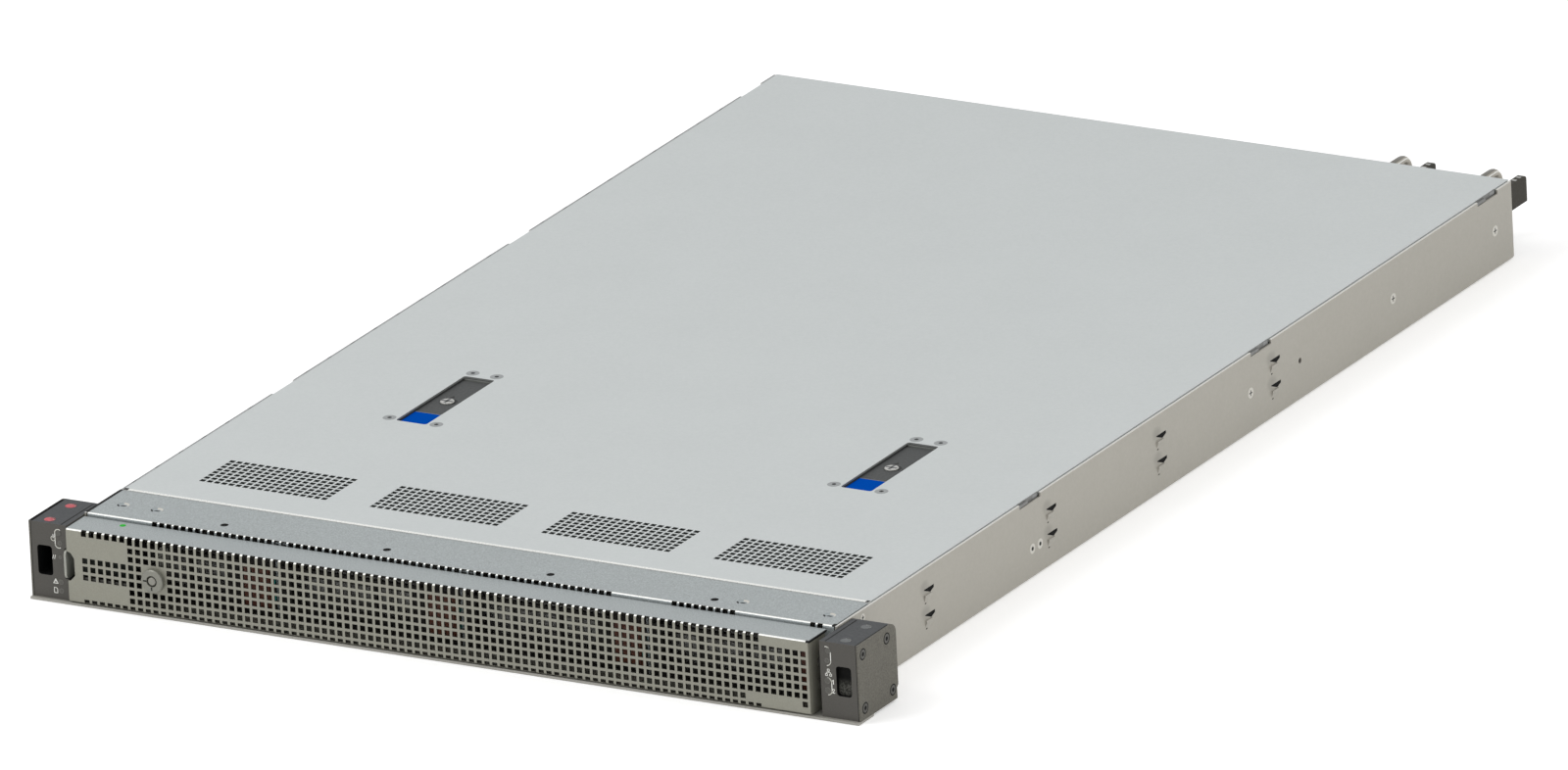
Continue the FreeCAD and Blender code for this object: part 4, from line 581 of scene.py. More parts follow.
def bezel_sheet():
    front, rear = BEZEL_LOW[1], BEZEL_HIGH[1]
    low, high = BEZEL_LOW[2], BEZEL_HIGH[2]
    quarter = BEND * math.pi / 2
    floor = FLOOR_REAR - front - BEND
    face = high - low - 2 * BEND
    top = rear - front - BEND
    place = bent_profile(FLOOR_REAR, low, -1, 0, BEND, floor, face, top)

    def level(z):
        return floor + quarter + z - low - BEND

    top_bend = floor + quarter + face
    rows = [tuple(level(z) for z in both_edges([LOCK_Z + PITCH * k], HOLE / 2)) for k in range(-3, 4)]
    # the outermost rows run on over the bends; the upper one starts higher in the plain left part
    bottom = (floor + quarter * 0.6, level(LOCK_Z - 4 * PITCH + HOLE / 2))
    upper = (level(LOCK_Z + 4 * PITCH - HOLE / 2), top_bend + quarter * 0.85)
    short = level(LOCK_Z + 4 * PITCH - HOLE / 2 + 1.1)
    left = BEZEL_LOW[0]
    notch = [(left + u, level(z)) for u, z in TAB_NOTCH]
    vs = [0, floor + quarter + face + quarter + top]
    vs += bend_levels(floor, quarter) + bend_levels(top_bend, quarter)
    for pair in rows + [bottom, upper]:
        vs += pair
    vs = merged(vs + [short] + [v for u, v in notch])
    us = merged([left, BEZEL_HIGH[0]] + [u for u, v in notch]
                + both_edges([FIRST + PITCH * n for n in range(COLUMNS)], HOLE / 2))

    def is_hole(u, v):
        n = round((u - FIRST) / PITCH)
        if not 0 <= n < COLUMNS or abs(u - FIRST - PITCH * n) > HOLE / 2:
            return False
        if bottom[0] < v < bottom[1] or upper[0] < v < upper[1]:
            return n < BEND_COLUMNS and not (n < PLAIN_COLUMNS and upper[0] < v < short)
        for k, (v0, v1) in enumerate(rows):
            if v0 < v < v1:
                if k in (0, 1, 5, 6) and n < PLAIN_COLUMNS or k in (2, 3, 4) and abs(n - LOCK_COLUMN) <= 1:
                    return False
                return not (k == 0 and NAME_COLUMNS[0] <= n <= NAME_COLUMNS[1])
        return False

    def cell(u, v, corners):
        if u < notch[1][0] and notch[0][1] < v < notch[4][1]:
            for a, b in zip(notch, notch[1:]):
                if a[1] < v < b[1]:
                    kept = clip(corners, a, b)
                    return [kept] if len(kept) > 2 else []
        return [] if is_hole(u, v) else [corners]

    # bend: near-white painted highlight; the top flange takes the panel's bluish steel, whose cool tone is
    # painted light from above; hole walls: painted shade
    def paint(v):
        return 0 if v < top_bend + quarter * 0.4 else 2 if v < top_bend + quarter * 0.8 else 1

    return bent_sheet("bezel_sheet", us, vs, cell, place, paint, lambda v: 3)


add_piece("bezel_mesh_panel", bezel_sheet(), ["bezel_paint", "panel_steel", "painted_highlight", "hole_wall_shade"],
          "bezel", "bezel_panel")
add_boxes("bezel_side_return", "bezel_paint", "bezel",
          (BEZEL_HIGH[0] - SHEET, BEZEL_HIGH[0], BEZEL_LOW[1] + SHEET, BEZEL_HIGH[1] - 1.6,
           BEZEL_LOW[2] + SHEET, BEZEL_HIGH[2] - SHEET))


CAM_LENGTH = 14.2
CAM_RADIUS = 3


def lock_parts():
    face, rear = (corner[1] for corner in box_mm("bezel_lock_body"))
    place = front_view(LOCK_X, LOCK_Z, 0)
    body = Mesher()
    body.turned([(2.95, rear), (2.95, face + 0.3), (3.15, face + 0.02), (5.75, face + 0.02),
                 (6.25, face + 0.5), (6.25, BEZEL_LOW[1]), (4.75, BEZEL_LOW[1]), (4.75, rear),
                 (2.95, rear)], place, 48)
    body.paint = 1
    for outline in ([(-4.9, -0.4), (-3.0, -0.4), (-3.0, 0.4), (-4.9, 0.4)],
                    [(-0.4, -4.9), (0.4, -4.9), (0.4, -3.0), (-0.4, -3.0)]):
        body.slab(outline, place, face, face + 0.1)
    add_piece("bezel_lock_ring", body, ["lock_chrome", "deep_black"], "bezel", "bezel_lock_body")
    plug = Mesher()
    plug.turned([(0.0, face + 0.35), (1.9, face + 0.35), (2.2, face + 0.6), (2.2, face + 4.0),
                 (2.9, face + 4.0), (2.9, rear + 0.2), (0.0, rear + 0.2)], place, 40)
    cam = arc(0, CAM_LENGTH - CAM_RADIUS, CAM_RADIUS, 0, 180) + arc(0, 0, CAM_RADIUS, 180, 360)
    plug.slab(cam, place, rear + 0.2, rear + 1.7)
    add_piece("bezel_lock_cylinder", plug, "lock_plug_steel", "lock_plug", "bezel_lock_plug")


lock_parts()

# ------------------------------ fixed top panel
PANEL_LOW, PANEL_HIGH = box_mm("front_top_panel")
PANEL_DEPTH = 35.2
TONGUE_TOP = 42.1
SLOT_PITCH = 4.21
SLOT_FIRST = -178.0
SLOT_HALF = 1.5
SLOTS = list(range(64)) + list(range(72, 81)) + [91, 92]
FIELD_FRONT = 5.0             # depth of the piece that holds the bend
DISHES = ((-205.8, 35.0), (-186.0, 35.0), (157.8, 31.3), (207.8, 31.3))
DISH_DEPTH = 0.6
DISH_RADIUS = 3.3
DRIVE_RADIUS = 2.2
PANEL_HOLES_X = (-142.8, -47.6, 47.6, 142.8)
PANEL_HOLES_Y = 28.9
PANEL_HOLE = 2.1


def top_panel():
    front, low, high = PANEL_LOW[1], PANEL_LOW[2], PANEL_HIGH[2]
    rear = front + FIELD_FRONT
    bend = 1.4
    quarter = bend * math.pi / 2
    face = high - low - bend
    place = bent_profile(front, low, 0, 1, bend, face, rear - front - bend)

    slot_low, slot_high = face - 1.2, face + quarter * 0.75
    slots = [SLOT_FIRST + SLOT_PITCH * n for n in SLOTS]
    us = merged([-PANEL_HIGH[0], PANEL_HIGH[0]] + both_edges(slots, SLOT_HALF))
    vs = merged([0, face + quarter + rear - front - bend, slot_low, slot_high] + bend_levels(face, quarter))

    def cell(u, v, corners):
        if slot_low < v < slot_high and any(abs(u - s) < SLOT_HALF for s in slots):
            return []
        return [corners]

    # a near-white painted highlight on the front bend; slot walls are painted shade
    def paint(v):
        return 1 if face + quarter * 0.35 < v < face + quarter * 0.8 else 0

    mesh = bent_sheet("top_panel", us, vs, cell, place, paint, lambda v: 2)
    add_piece("front_top_sheet", mesh, ["panel_steel", "painted_highlight", "hole_wall_shade"], "chassis",
              "front_top_panel")


def top_field():
    """Flat rear part of the fixed panel, with dished screw places and plain round holes."""
    holes = [(x, y, DISH_RADIUS - 0.05) for x, y in DISHES]
    holes += [(x, PANEL_HOLES_Y, PANEL_HOLE) for x in PANEL_HOLES_X]
    us = merged([-PANEL_HIGH[0], PANEL_HIGH[0]] + both_edges([x for x, y, r in holes], 4))
    vs = [PANEL_LOW[1] + FIELD_FRONT, 24.5, 39.5, PANEL_LOW[1] + PANEL_DEPTH]

    def cell(u, v, corners):
        (u0, v0), (u1, v1) = corners[::2]
        inside = [hole for hole in holes if u0 < hole[0] < u1 and v0 < hole[1] < v1]
        return round_hole_cell(corners, *inside[0]) if inside else [corners]

    # walls of the round holes are painted shade
    mesh = bent_sheet("top_field", us, vs, cell, lambda u, v, d: (u, v, PANEL_HIGH[2] - d), None,
                      lambda v: 1 if abs(v - PANEL_HOLES_Y) < PANEL_HOLE + 0.1 else 0)
    add_piece("front_top_field", mesh, ["panel_steel", "hole_wall_shade"], "chassis")


top_panel()
top_field()
add_boxes("front_top_tongue", "panel_steel", "chassis",
          (-PANEL_HIGH[0] + 1.8, PANEL_HIGH[0] - 1.8, PANEL_LOW[1] + PANEL_DEPTH - SHEET, PANEL_HIGH[1],
           TONGUE_TOP - SHEET, TONGUE_TOP))
# black discs down in the round holes: painted shade
holes = Mesher()
for x in PANEL_HOLES_X:
    holes.slab(arc(0, 0, PANEL_HOLE, 0, 345, 23), top_view(x, PANEL_HOLES_Y, PANEL_HIGH[2]), -1.3, -0.2)
add_piece("front_panel_round_holes", holes, "deep_black", "chassis")

# ------------------------------ lid
LID_LOW, LID_HIGH = box_mm("top_cover")
LID_HALF = 217.3
EDGE_STRIP = 2.2              # front edge strip with a painted highlight
VENTS_X = (-150.3, -50.1, 50.1, 150.3)
VENT_COLUMNS = 18
VENT_COLUMN_PITCH = 4.2
VENT_ROWS = 8
VENT_ROW_PITCH = 4.25
VENT_FRONT = 81.4             # middle of the first row
VENT_HALF = 1.5
LATCH_X = 130.2
WELL_HALF = 8.95
WELL_FRONT = 196.4
WELL_REAR = 267.2
WELL_CORNER = 1.5


def lid_sheet():
    front, rear, high = LID_LOW[1], LID_HIGH[1], LID_HIGH[2]
    wells = [(side * LATCH_X - WELL_HALF, side * LATCH_X + WELL_HALF) for side in (-1, 1)]
    corner = WELL_CORNER
    columns = [middle + VENT_COLUMN_PITCH * (n - (VENT_COLUMNS - 1) / 2)
               for middle in VENTS_X for n in range(VENT_COLUMNS)]
    rows = [VENT_FRONT + VENT_ROW_PITCH * n for n in range(VENT_ROWS)]
    us, vs = [-LID_HALF, LID_HALF], [front, rear, front + EDGE_STRIP]
    for a, b in wells:
        us += [a, a + corner, b - corner, b]
    us = merged(us + both_edges(columns, VENT_HALF))
    vs = merged(vs + [WELL_FRONT, WELL_FRONT + corner, WELL_REAR - corner, WELL_REAR]
                + both_edges(rows, VENT_HALF))
    vent_band = (rows[0] - VENT_HALF, rows[-1] + VENT_HALF)

    def cell(u, v, corners):
        if vent_band[0] < v < vent_band[1]:
            if any(abs(u - x) < VENT_HALF for x in columns) and any(abs(v - y) < VENT_HALF for y in rows):
                return []
        for a, b in wells:
            if a < u < b and WELL_FRONT < v < WELL_REAR:
                cx = a + corner if u < a + corner else b - corner if u > b - corner else None
                cy = (WELL_FRONT + corner if v < WELL_FRONT + corner else
                      WELL_REAR - corner if v > WELL_REAR - corner else None)
                if cx is None or cy is None:
                    return []
                return [outside_corner(corners, cx, cy, corner)]
        return [corners]

    # near-white painted highlight on the front edge strip; painted shade on the walls of the vents and
    # latch wells
    return bent_sheet("lid_sheet", us, vs, cell, lambda u, v, d: (u, v, high - d),
                      lambda v: 1 if v < front + EDGE_STRIP else 0,
                      lambda v: 3 if v > WELL_FRONT - 1 else 2)


def outside_corner(corners, cx, cy, radius):
    """Part of a cell outside a circle, the cell being a strip of a rounded corner's square."""
    (u0, v0), (u1, v1) = corners[::2]
    upper = v0 > cy - 1e-6
    wall = v1 if upper else v0

    def edge(u):
        reach = math.sqrt(max(radius ** 2 - (u - cx) ** 2, 0.0))
        return cy + reach if upper else cy - reach
    steps = [u0 + (u1 - u0) * k / 4 for k in range(5)]
    polygon = [(u0, wall), (u1, wall)] + [(u, edge(u)) for u in reversed(steps)]
    return [p for k, p in enumerate(polygon) if math.dist(p, polygon[k - 1]) > 1e-4]


add_piece("top_cover_sheet", lid_sheet(), ["lid_steel", "painted_highlight", "vent_wall_shade", "shaded_edge_grey"], "lid",
          "top_cover")
NOTCHES = (218.4, 462.2, 706.4)               # middles of the notches in the walls
NOTCH_HALF = 10.95
HEM_ENDS = (66.2, 718.0)
hems = Mesher()
for side in (-1, 1):
    hems.paint = 0
    hems.box(*both_ways(side, LID_HALF - SHEET, LID_HALF), *HEM_ENDS, 41.0, 42.2)
    for y in NOTCHES:
        # grey boxes in the notches and strips beside them: painted shade
        hems.paint = 1
        hems.box(*both_ways(side, LID_HALF - SHEET, LID_HIGH[0]), y - 10.55, y - 1.65, LID_LOW[2], 42.15)
        hems.box(*both_ways(side, LID_HALF, LID_HALF + 0.15), y - 10.6, y + 10.6, 38.9, 43.1)
        hems.paint = 2
        hems.box(*both_ways(side, LID_HALF + 0.1, LID_HALF + 0.25), y + 5.2, y + 9.8, 40.9, 42.6)
add_piece("top_cover_hems", hems, ["lid_steel", "hem_shade_grey", "shaded_rim_grey"], "lid")

# ------------------------------ screws, plugs and lamps
def screw(work, place, radius, recess, drive, proud):
    """Flat screw head with its drive drawn as a flat dark patch of painted shade, which is a cross for 4
    and otherwise has that many corners.
    """
    work.paint = 0
    work.turned([(radius, -0.3), (radius, proud - 0.04), (radius - 0.1, proud), (0.0, proud)], place, 28)
    work.paint = 1
    if drive == 4:
        for turn in (0, 90):
            c, s = math.cos(math.radians(turn)), math.sin(math.radians(turn))
            bar = [(-recess, -0.3), (recess, -0.3), (recess, 0.3), (-recess, 0.3)]
            work.slab([(u * c - v * s, u * s + v * c) for u, v in bar], place, proud - 0.1, proud + 0.02)
    else:
        work.slab(arc(0, 0, recess, 0, 360 - 360 / drive, drive - 1), place, proud - 0.1, proud + 0.02)


DISH_SEGMENTS = 32
# dished screw places: the light far side is a painted highlight, the dark near side and the drive are
# painted shade
dishes = Mesher()
for x, y in DISHES:
    place = top_view(x, y, PANEL_HIGH[2])
    dishes.paint = 0
    dishes.turned([(DRIVE_RADIUS, -DISH_DEPTH), (0.0, -DISH_DEPTH)], place, DISH_SEGMENTS)
    for k in range(DISH_SEGMENTS):
        start, end, angle = (360 * (k + share) / DISH_SEGMENTS for share in (0, 1, 0.5))
        dishes.paint = 2 if 0 < angle < 115 or angle > 350 else 1 if 175 < angle < 255 else 0
        inner, outer = arc(0, 0, DRIVE_RADIUS, start, end, 1), arc(0, 0, DISH_RADIUS, start, end, 1)
        dishes.face([place(*inner[0], -DISH_DEPTH), place(*inner[1], -DISH_DEPTH),
                     place(*outer[1], -0.02), place(*outer[0], -0.02)])
    dishes.paint = 1
    dishes.slab([(-1.6, -0.5), (0.9, -0.5), (1.6, 0.5), (-0.9, 0.5)], place, -0.65, -0.5)
add_piece("front_panel_screw_heads", dishes,
          ["panel_screw_steel", "print_dark", "wall_screw_steel"], "chassis", "front_panel_screws")

LATCH_SCREWS = ((-7.05, 272.4), (7.05, 272.4), (-13.8, 198.6), (13.8, 198.6))   # X from the latch, Y
latch_screws = Mesher()
for side in (-1, 1):
    for dx, y in LATCH_SCREWS:
        screw(latch_screws, top_view(side * LATCH_X + dx, y, LID_HIGH[2]), 3.55, 1.25, 6, 0.05)
add_piece("cover_latch_screw_heads", latch_screws, ["latch_screw_steel", "print_dark"], "lid",
          "cover_latch_screws")

# Y, Z, radius of the head and drive
WALL_SCREWS = ((449.5, 21.5, 2.9, 4), (602.3, 21.5, 2.9, 4), (713.0, 21.5, 2.9, 4),
               (218.8, 15.8, 2.7, 8), (226.8, 15.8, 2.7, 8), (45.0, 38.5, 2.1, 4))
wall_screws = Mesher()
for side in (-1, 1):
    for y, z, radius, drive in WALL_SCREWS:
        place = side_view(side * WALL_FACE, y, z, side)
        screw(wall_screws, place, radius, 1.15 if drive == 8 else radius * 0.55, drive, 0.1)
add_piece("wall_screw_heads", wall_screws, ["wall_screw_steel", "print_dark"], "chassis",
          "wall_fasteners")

EAR_SCREWS = ((5.0, 35.9), (29.4, 35.9), (5.0, 7.1), (33.4, 7.1))                # Y and Z
side_screws = Mesher()
for side in (-1, 1):
    for y, z in EAR_SCREWS:
        place = side_view(side * EAR_SIDE, y, z, side)
        # a black ring round each head and a black drive: painted shade
        side_screws.paint = 1
        side_screws.turned([(3.1, -0.3), (3.1, 0.03), (2.4, 0.04)], place, 28)
        screw(side_screws, place, 2.45, 1.25, 6, 0.08)
add_piece("ear_side_screw_heads", side_screws, ["ear_screw_steel", "deep_black"], "chassis",
          "ear_side_screws")

# dark lines where the ears' sheets meet, and beside the fixed top panel
SEAMS = ((239.7, 240.4, 0.2, 32.8, *skin(EAR_TOP)), (222.0, 222.8, 0.5, 33.0, *skin(EAR_TOP)),
         (239.95, 240.3, -0.03, 0.1, 1.3, EAR_TOP), (217.4, 217.95, 19.0, 54.0, 41.4, 42.4))
seams = Mesher()
for side in (-1, 1):
    for x0, x1, *others in SEAMS:
        seams.box(*both_ways(side, x0, x1), *others)
seams.box(-241.2, -239.1, 0.3, 32.8, *skin(EAR_TOP))
add_piece("ear_and_cover_seams", seams, "seam_black", "chassis")

# top edge of the left wall and its dimples in painted shade, dark seam before it, grey strip of painted
# half-shade in the gap inside the right wall
MARK = 4.2                    # length of a mark
MARK_START = 11.0
MARK_PITCH = 23.5
rims = Mesher()
rims.paint = 2
rims.box(-218.9, -217.0, 19.4, 54.2, PANEL_HIGH[2] - 0.03, PANEL_HIGH[2] + 0.04)
stations = [54.4] + both_edges(NOTCHES, NOTCH_HALF) + [WALL_REAR]
runs = list(zip(stations[::2], stations[1::2]))
for y0, y1 in runs:
    rims.paint = 0
    rims.box(-WALL_FACE + 0.02, -WALL_INSIDE - 0.02, y0, y1, *skin(WALL_TOP))
    rims.paint = 1
    y = y0 + MARK_START
    while y < y1 - 5:
        rims.box(-WALL_FACE + 0.1, -WALL_INSIDE - 0.1, y, y + MARK, WALL_TOP - 0.1, WALL_TOP + 0.05)
        y += MARK_PITCH
rims.paint = 3
for y0, y1 in runs:
    rims.box(WALL_INSIDE - 0.38, WALL_INSIDE, y0, y1, 42.0, 42.5)
add_piece("left_wall_rim", rims, ["shaded_rim_grey", "recess_shade_grey", "seam_black", "shaded_edge_grey"], "chassis")

# shade in the openings of the rail hooks, with a small mark below each
backs = Mesher()
for side in (-1, 1):
    for y in HOOKS_Y:
        for z in HOOKS_Z:
            backs.slab([(-5.1, 0.0), (-5.1, -0.4), (1.3, -3.0), (5.1, -1.6), (5.1, 0.0)],
                       side_view(side * WALL_INSIDE, y, z, side), -0.05, 0.94)
            backs.slab([(-4.9, -0.5), (-3.4, -0.5), (-3.2, 0.1), (-4.7, 0.1)],
                       side_view(side * WALL_FACE, y, z - 7.3, side), -0.1, 0.02)
add_piece("rail_opening_shades", backs, "deep_black", "chassis")

# dark corners and gaps
add_boxes("cover_front_corners", "seam_black", "lid",
          (-LID_HALF + 0.1, -LID_HALF + 2.6, 54.3, 56.6, *skin(LID_HIGH[2])),
          (LID_HALF - 2.0, LID_HALF - 0.1, 54.3, 56.6, *skin(LID_HIGH[2])))
add_boxes("front_panel_corner", "seam_black", "chassis", (216.2, 217.9, 18.7, 21.2, 42.4, 43.1))
# dark strip at the right end of the bezel's top flange: painted shade in the gap to the ear
add_boxes("bezel_side_strip", "seam_black", "bezel",
          (BEZEL_HIGH[0], BEZEL_HIGH[0] + 0.6, -1.6, 16.6, 40.2, 41.2),
          (BEZEL_HIGH[0] - 1.3, BEZEL_HIGH[0] + 0.6, -2.1, -0.9, 40.4, 41.28))

PLUG_X = 231.75
PLUGS_Y = (5.2, 26.3)
for side, word, material in ((-1, "left", "plug_plastic"), (1, "right", "plug_grey")):
    plugs = Mesher()
    for y in PLUGS_Y:
        place = top_view(side * PLUG_X, y, EAR_TOP)
        plugs.paint = 0
        plugs.turned([(2.9, -0.2), (2.9, 0.06), (2.7, 0.1), (0.0, 0.1)], place, 28)
        # light crescent on each plug: painted highlight
        plugs.paint = 1
        plugs.ribbon(arc(0, 0, 2.35, 5, 115, 8), 0.45, place, 0.1, 0.12)
    add_piece(word + "_ear_top_plugs", plugs, [material, "highlight_grey"],
              "chassis", "ear_top_plugs", slot="plug_plastic")

add_boxes("right_ear_window_back", "window_mottle", "chassis", (228.1, 237.0, 2.4, 2.6, 13.4, 29.5))

# ------------------------------ ear fronts: lamps, buttons and signs
INK = 0.04
ROUND_STEPS = 8
# drawn lines: corners in X and Z, width, and whether the line is closed
LEFT_SIGNS = [
    (arc(-227.2, 33.9, 1.25, 130, 410, 20), 0.36, False),                           # power
    ([(-227.2, 34.3), (-227.2, 35.9)], 0.42, False),
    (arc(-224.1, 37.1, 2.0, 60, 180, ROUND_STEPS)
     + arc(-224.1, 31.0, 2.0, 180, 300, ROUND_STEPS), 0.4, False),
    ([(-228.05, 22.9), (-227.45, 24.9)], 0.3, False),                               # two strokes
    ([(-226.95, 22.9), (-226.35, 24.9)], 0.3, False),
    ([(-228.3, 9.7), (-227.0, 12.0), (-225.7, 9.7)], 0.34, True),                   # warning triangle
    ([(-227.0, 10.4), (-227.0, 11.2)], 0.3, False),
    ([(-228.1, 4.5), (-226.2, 4.5), (-226.2, 6.7), (-226.8, 7.3), (-228.1, 7.3)], 0.32, True)]     # page
RIGHT_SIGNS = [
    (arc(222.9, 36.6, 2.5, 100, 0, ROUND_STEPS) + arc(222.9, 31.5, 2.5, 0, -80, ROUND_STEPS), 0.4, False),
    (arc(222.9, 20.0, 2.5, 80, 0, ROUND_STEPS) + arc(222.9, 15.8, 2.5, 0, -80, ROUND_STEPS), 0.4, False)]
for x, z in ((223.8, 26.6), (222.6, 24.1), (225.0, 24.1)):                          # three boxes
    RIGHT_SIGNS.append(([(x + 0.55 * u, z + 0.55 * v) for u, v in ((-1, -1), (1, -1), (1, 1), (-1, 1))],
                        0.3, True))
RIGHT_SIGNS += [
    ([(222.6, 24.9), (222.6, 25.4), (225.0, 25.4), (225.0, 24.9)], 0.24, False),
    ([(223.8, 25.4), (223.8, 25.9)], 0.24, False),
    ([(225.9, 21.1), (226.4, 21.6), (226.4, 19.5)], 0.4, False),                    # 1 and 2
    ([(225.7, 16.3), (226.0, 16.7), (226.6, 16.7), (226.8, 16.2), (225.7, 14.7), (226.9, 14.7)],
     0.38, False)]
for name, signs in (("left_ear_symbols", LEFT_SIGNS), ("right_ear_symbols", RIGHT_SIGNS)):
    work = Mesher()
    for line, width, closed in signs:
        work.ribbon(line, width, front_view(0, 0, 0), -INK, 0.02, closed)
    add_piece(name, work, "print_white", "chassis")

# X, Z and radius
LAMPS = ((-223.4, 31.7, 1.0), (-223.9, 10.6, 1.15), (-223.9, 5.9, 1.15), (-223.6, 24.1, 0.7),
         (223.2, 31.7, 1.1), (223.0, 20.9, 1.4), (223.0, 15.7, 1.4))
lamps = Mesher()
for x, z, radius in LAMPS:
    place = front_view(x, z, 0)
    lamps.turned([(radius + 0.3, 0.05), (radius + 0.25, -0.08), (radius, -0.1), (radius - 0.1, -0.02),
                  (radius * 0.6, -0.12), (0.0, -0.14)], place, 24)
add_piece("ear_lamps", lamps, "button_plastic", "chassis", "ear_status_lights", slot="lamp_plastic")

BUTTON_X = 224.1
BUTTON_Z = 37.1
for side, name, body in ((-1, "power_button", "power_key"), (1, "locate_button", "locate_key")):
    key = Mesher()
    place = front_view(side * BUTTON_X, BUTTON_Z, 0)
    key.turned([(0.0, 4.7), (1.6, 4.7), (1.6, -0.15), (1.4, -0.3), (1.0, -0.22), (0.0, -0.18)], place, 28)
    add_piece(name + "_cap", key, "button_plastic", body, name)

LIGHT_X = BEZEL_LOW[0] + 25.15
LIGHT_Y = 12.55
light = Mesher()
place = top_view(LIGHT_X, LIGHT_Y, BEZEL_HIGH[2])
light.turned([(1.7, -4.0), (1.7, 0.0), (1.45, 0.16), (0.8, 0.2), (0.0, 0.2)], place, 28)
add_piece("bezel_green_lamp", light, "green_light", "bezel", "bezel_status_light")

# ------------------------------ lid latches
TURN_LOCK_Y = 233.6
TURN_LOCK_HEAD = 0.76         # a hair less than in the CAD model, so that its underside clears the handle
for side, word in ((-1, "left"), (1, "right")):
    x = side * LATCH_X
    latch = word + "_latch"
    low, high = box_mm(latch + "_pad")
    half = (high[0] - low[0]) / 2
    pad = Mesher()
    pad.slab([(low[1], low[2]), (high[1], low[2]), (high[1], high[2])]
             + arc(low[1] + 0.9, high[2] - 0.9, 0.9, 90, 180, 4),
             lambda u, v, level: (x + level, u, v), -half, half)
    add_piece(latch + "_thumb_pad", pad, "latch_blue", latch, latch + "_pad", bevel=0.25)
    # lighter blue strip behind the pad's rounded front edge is a painted highlight; the grey strip at its
    # rear edge is painted shade
    rim = Mesher()
    rim.box(x - half + 0.3, x + half - 0.3, low[1] + 0.5, low[1] + 1.1, high[2] - 0.1, high[2] + 0.02)
    rim.paint = 1
    rim.box(x - half + 0.2, x + half - 0.2, high[1] - 0.1, high[1] + 0.3, high[2] - 0.2, high[2] + 0.03)
    add_piece(latch + "_pad_edge_highlight", rim, ["pad_edge_highlight", "shaded_edge_grey"], latch)
    low, top = (corner[2] for corner in box_mm(latch + "_turn_lock"))
    under = top - TURN_LOCK_HEAD
    lock = Mesher()
    place = top_view(x, TURN_LOCK_Y, 0)
    lock.turned([(0.0, low), (2.4, low), (2.4, under), (3.75, under), (3.75, top - 0.25), (3.45, top),
                 (0.0, top)], place, 36)
    lock.box(x - 4.5, x + 4.5, TURN_LOCK_Y - 1.6, TURN_LOCK_Y + 1.6, low, low + 2.0)
    # the cross slot is drawn as dark grey painted shade
    lock.paint = 1
    for u, v in ((3.2, 0.75), (0.75, 3.2)):
        lock.slab([(-u, -v), (u, -v), (u, v), (-u, v)], place, top - 0.1, top + 0.02)
    add_piece(word + "_turn_lock_head", lock, ["turn_lock_steel", "recess_shade_grey"], word + "_turn_lock",
              latch + "_turn_lock")
    # grey band at the rear of each latch well: painted shade
    add_boxes(latch + "_rear_band", "rear_band", "lid", (x - 8.8, x + 8.8, 266.0, 267.1, 40.8, 42.0))
    # printed triangle on the handle, and a dark bar and ring of painted shadow round the turn lock
    print_and_shadow = Mesher()
    place = top_view(x, 0, box_mm(latch + "_handle")[1][2])
    print_and_shadow.slab([(-2.6, 240.2), (0.4, 240.2), (-1.1, 243.0)], place, -0.02, 0.02)
    print_and_shadow.slab([(6.0, 233.0), (7.4, 233.0), (7.4, 236.6), (6.0, 236.6)], place, -0.02, 0.02)
    print_and_shadow.slab(arc(0.9, 234.5, 4.3, 22.5, 337.5, 7), place, -0.02, 0.02)
    add_piece(latch + "_marks", print_and_shadow, "print_dark", latch)

# ------------------------------ power supply handles and catches
def tube(work, path, half_width, half_depth, x, paint, segments):
    """Bar of oval section along a path of (y, z) in the plane across X.

    paint(angle) gives the material index round the section: 0 degrees is +X, 90 the inside of the bend.
    """
    section = [(math.cos(2 * math.pi * n / segments), math.sin(2 * math.pi * n / segments))
               for n in range(segments)]
    rings = []
    for k, (y, z) in enumerate(path):
        y0, z0 = path[max(k - 1, 0)]
        y1, z1 = path[min(k + 1, len(path) - 1)]
        length = math.hypot(y1 - y0, z1 - z0)
        ny, nz = -(z1 - z0) / length, (y1 - y0) / length
        ny, nz = ny * half_depth, nz * half_depth
        rings.append([(x + half_width * u, y + ny * v, z + nz * v) for u, v in section])
    for ring_a, ring_b in zip(rings, rings[1:]):
        for n in range(segments):
            work.paint = paint(360 * (n - 0.5) / segments % 360)
            work.face([ring_a[n - 1], ring_a[n], ring_b[n], ring_b[n - 1]])
    work.paint = 0
    work.face(rings[0])
    work.face(rings[-1])


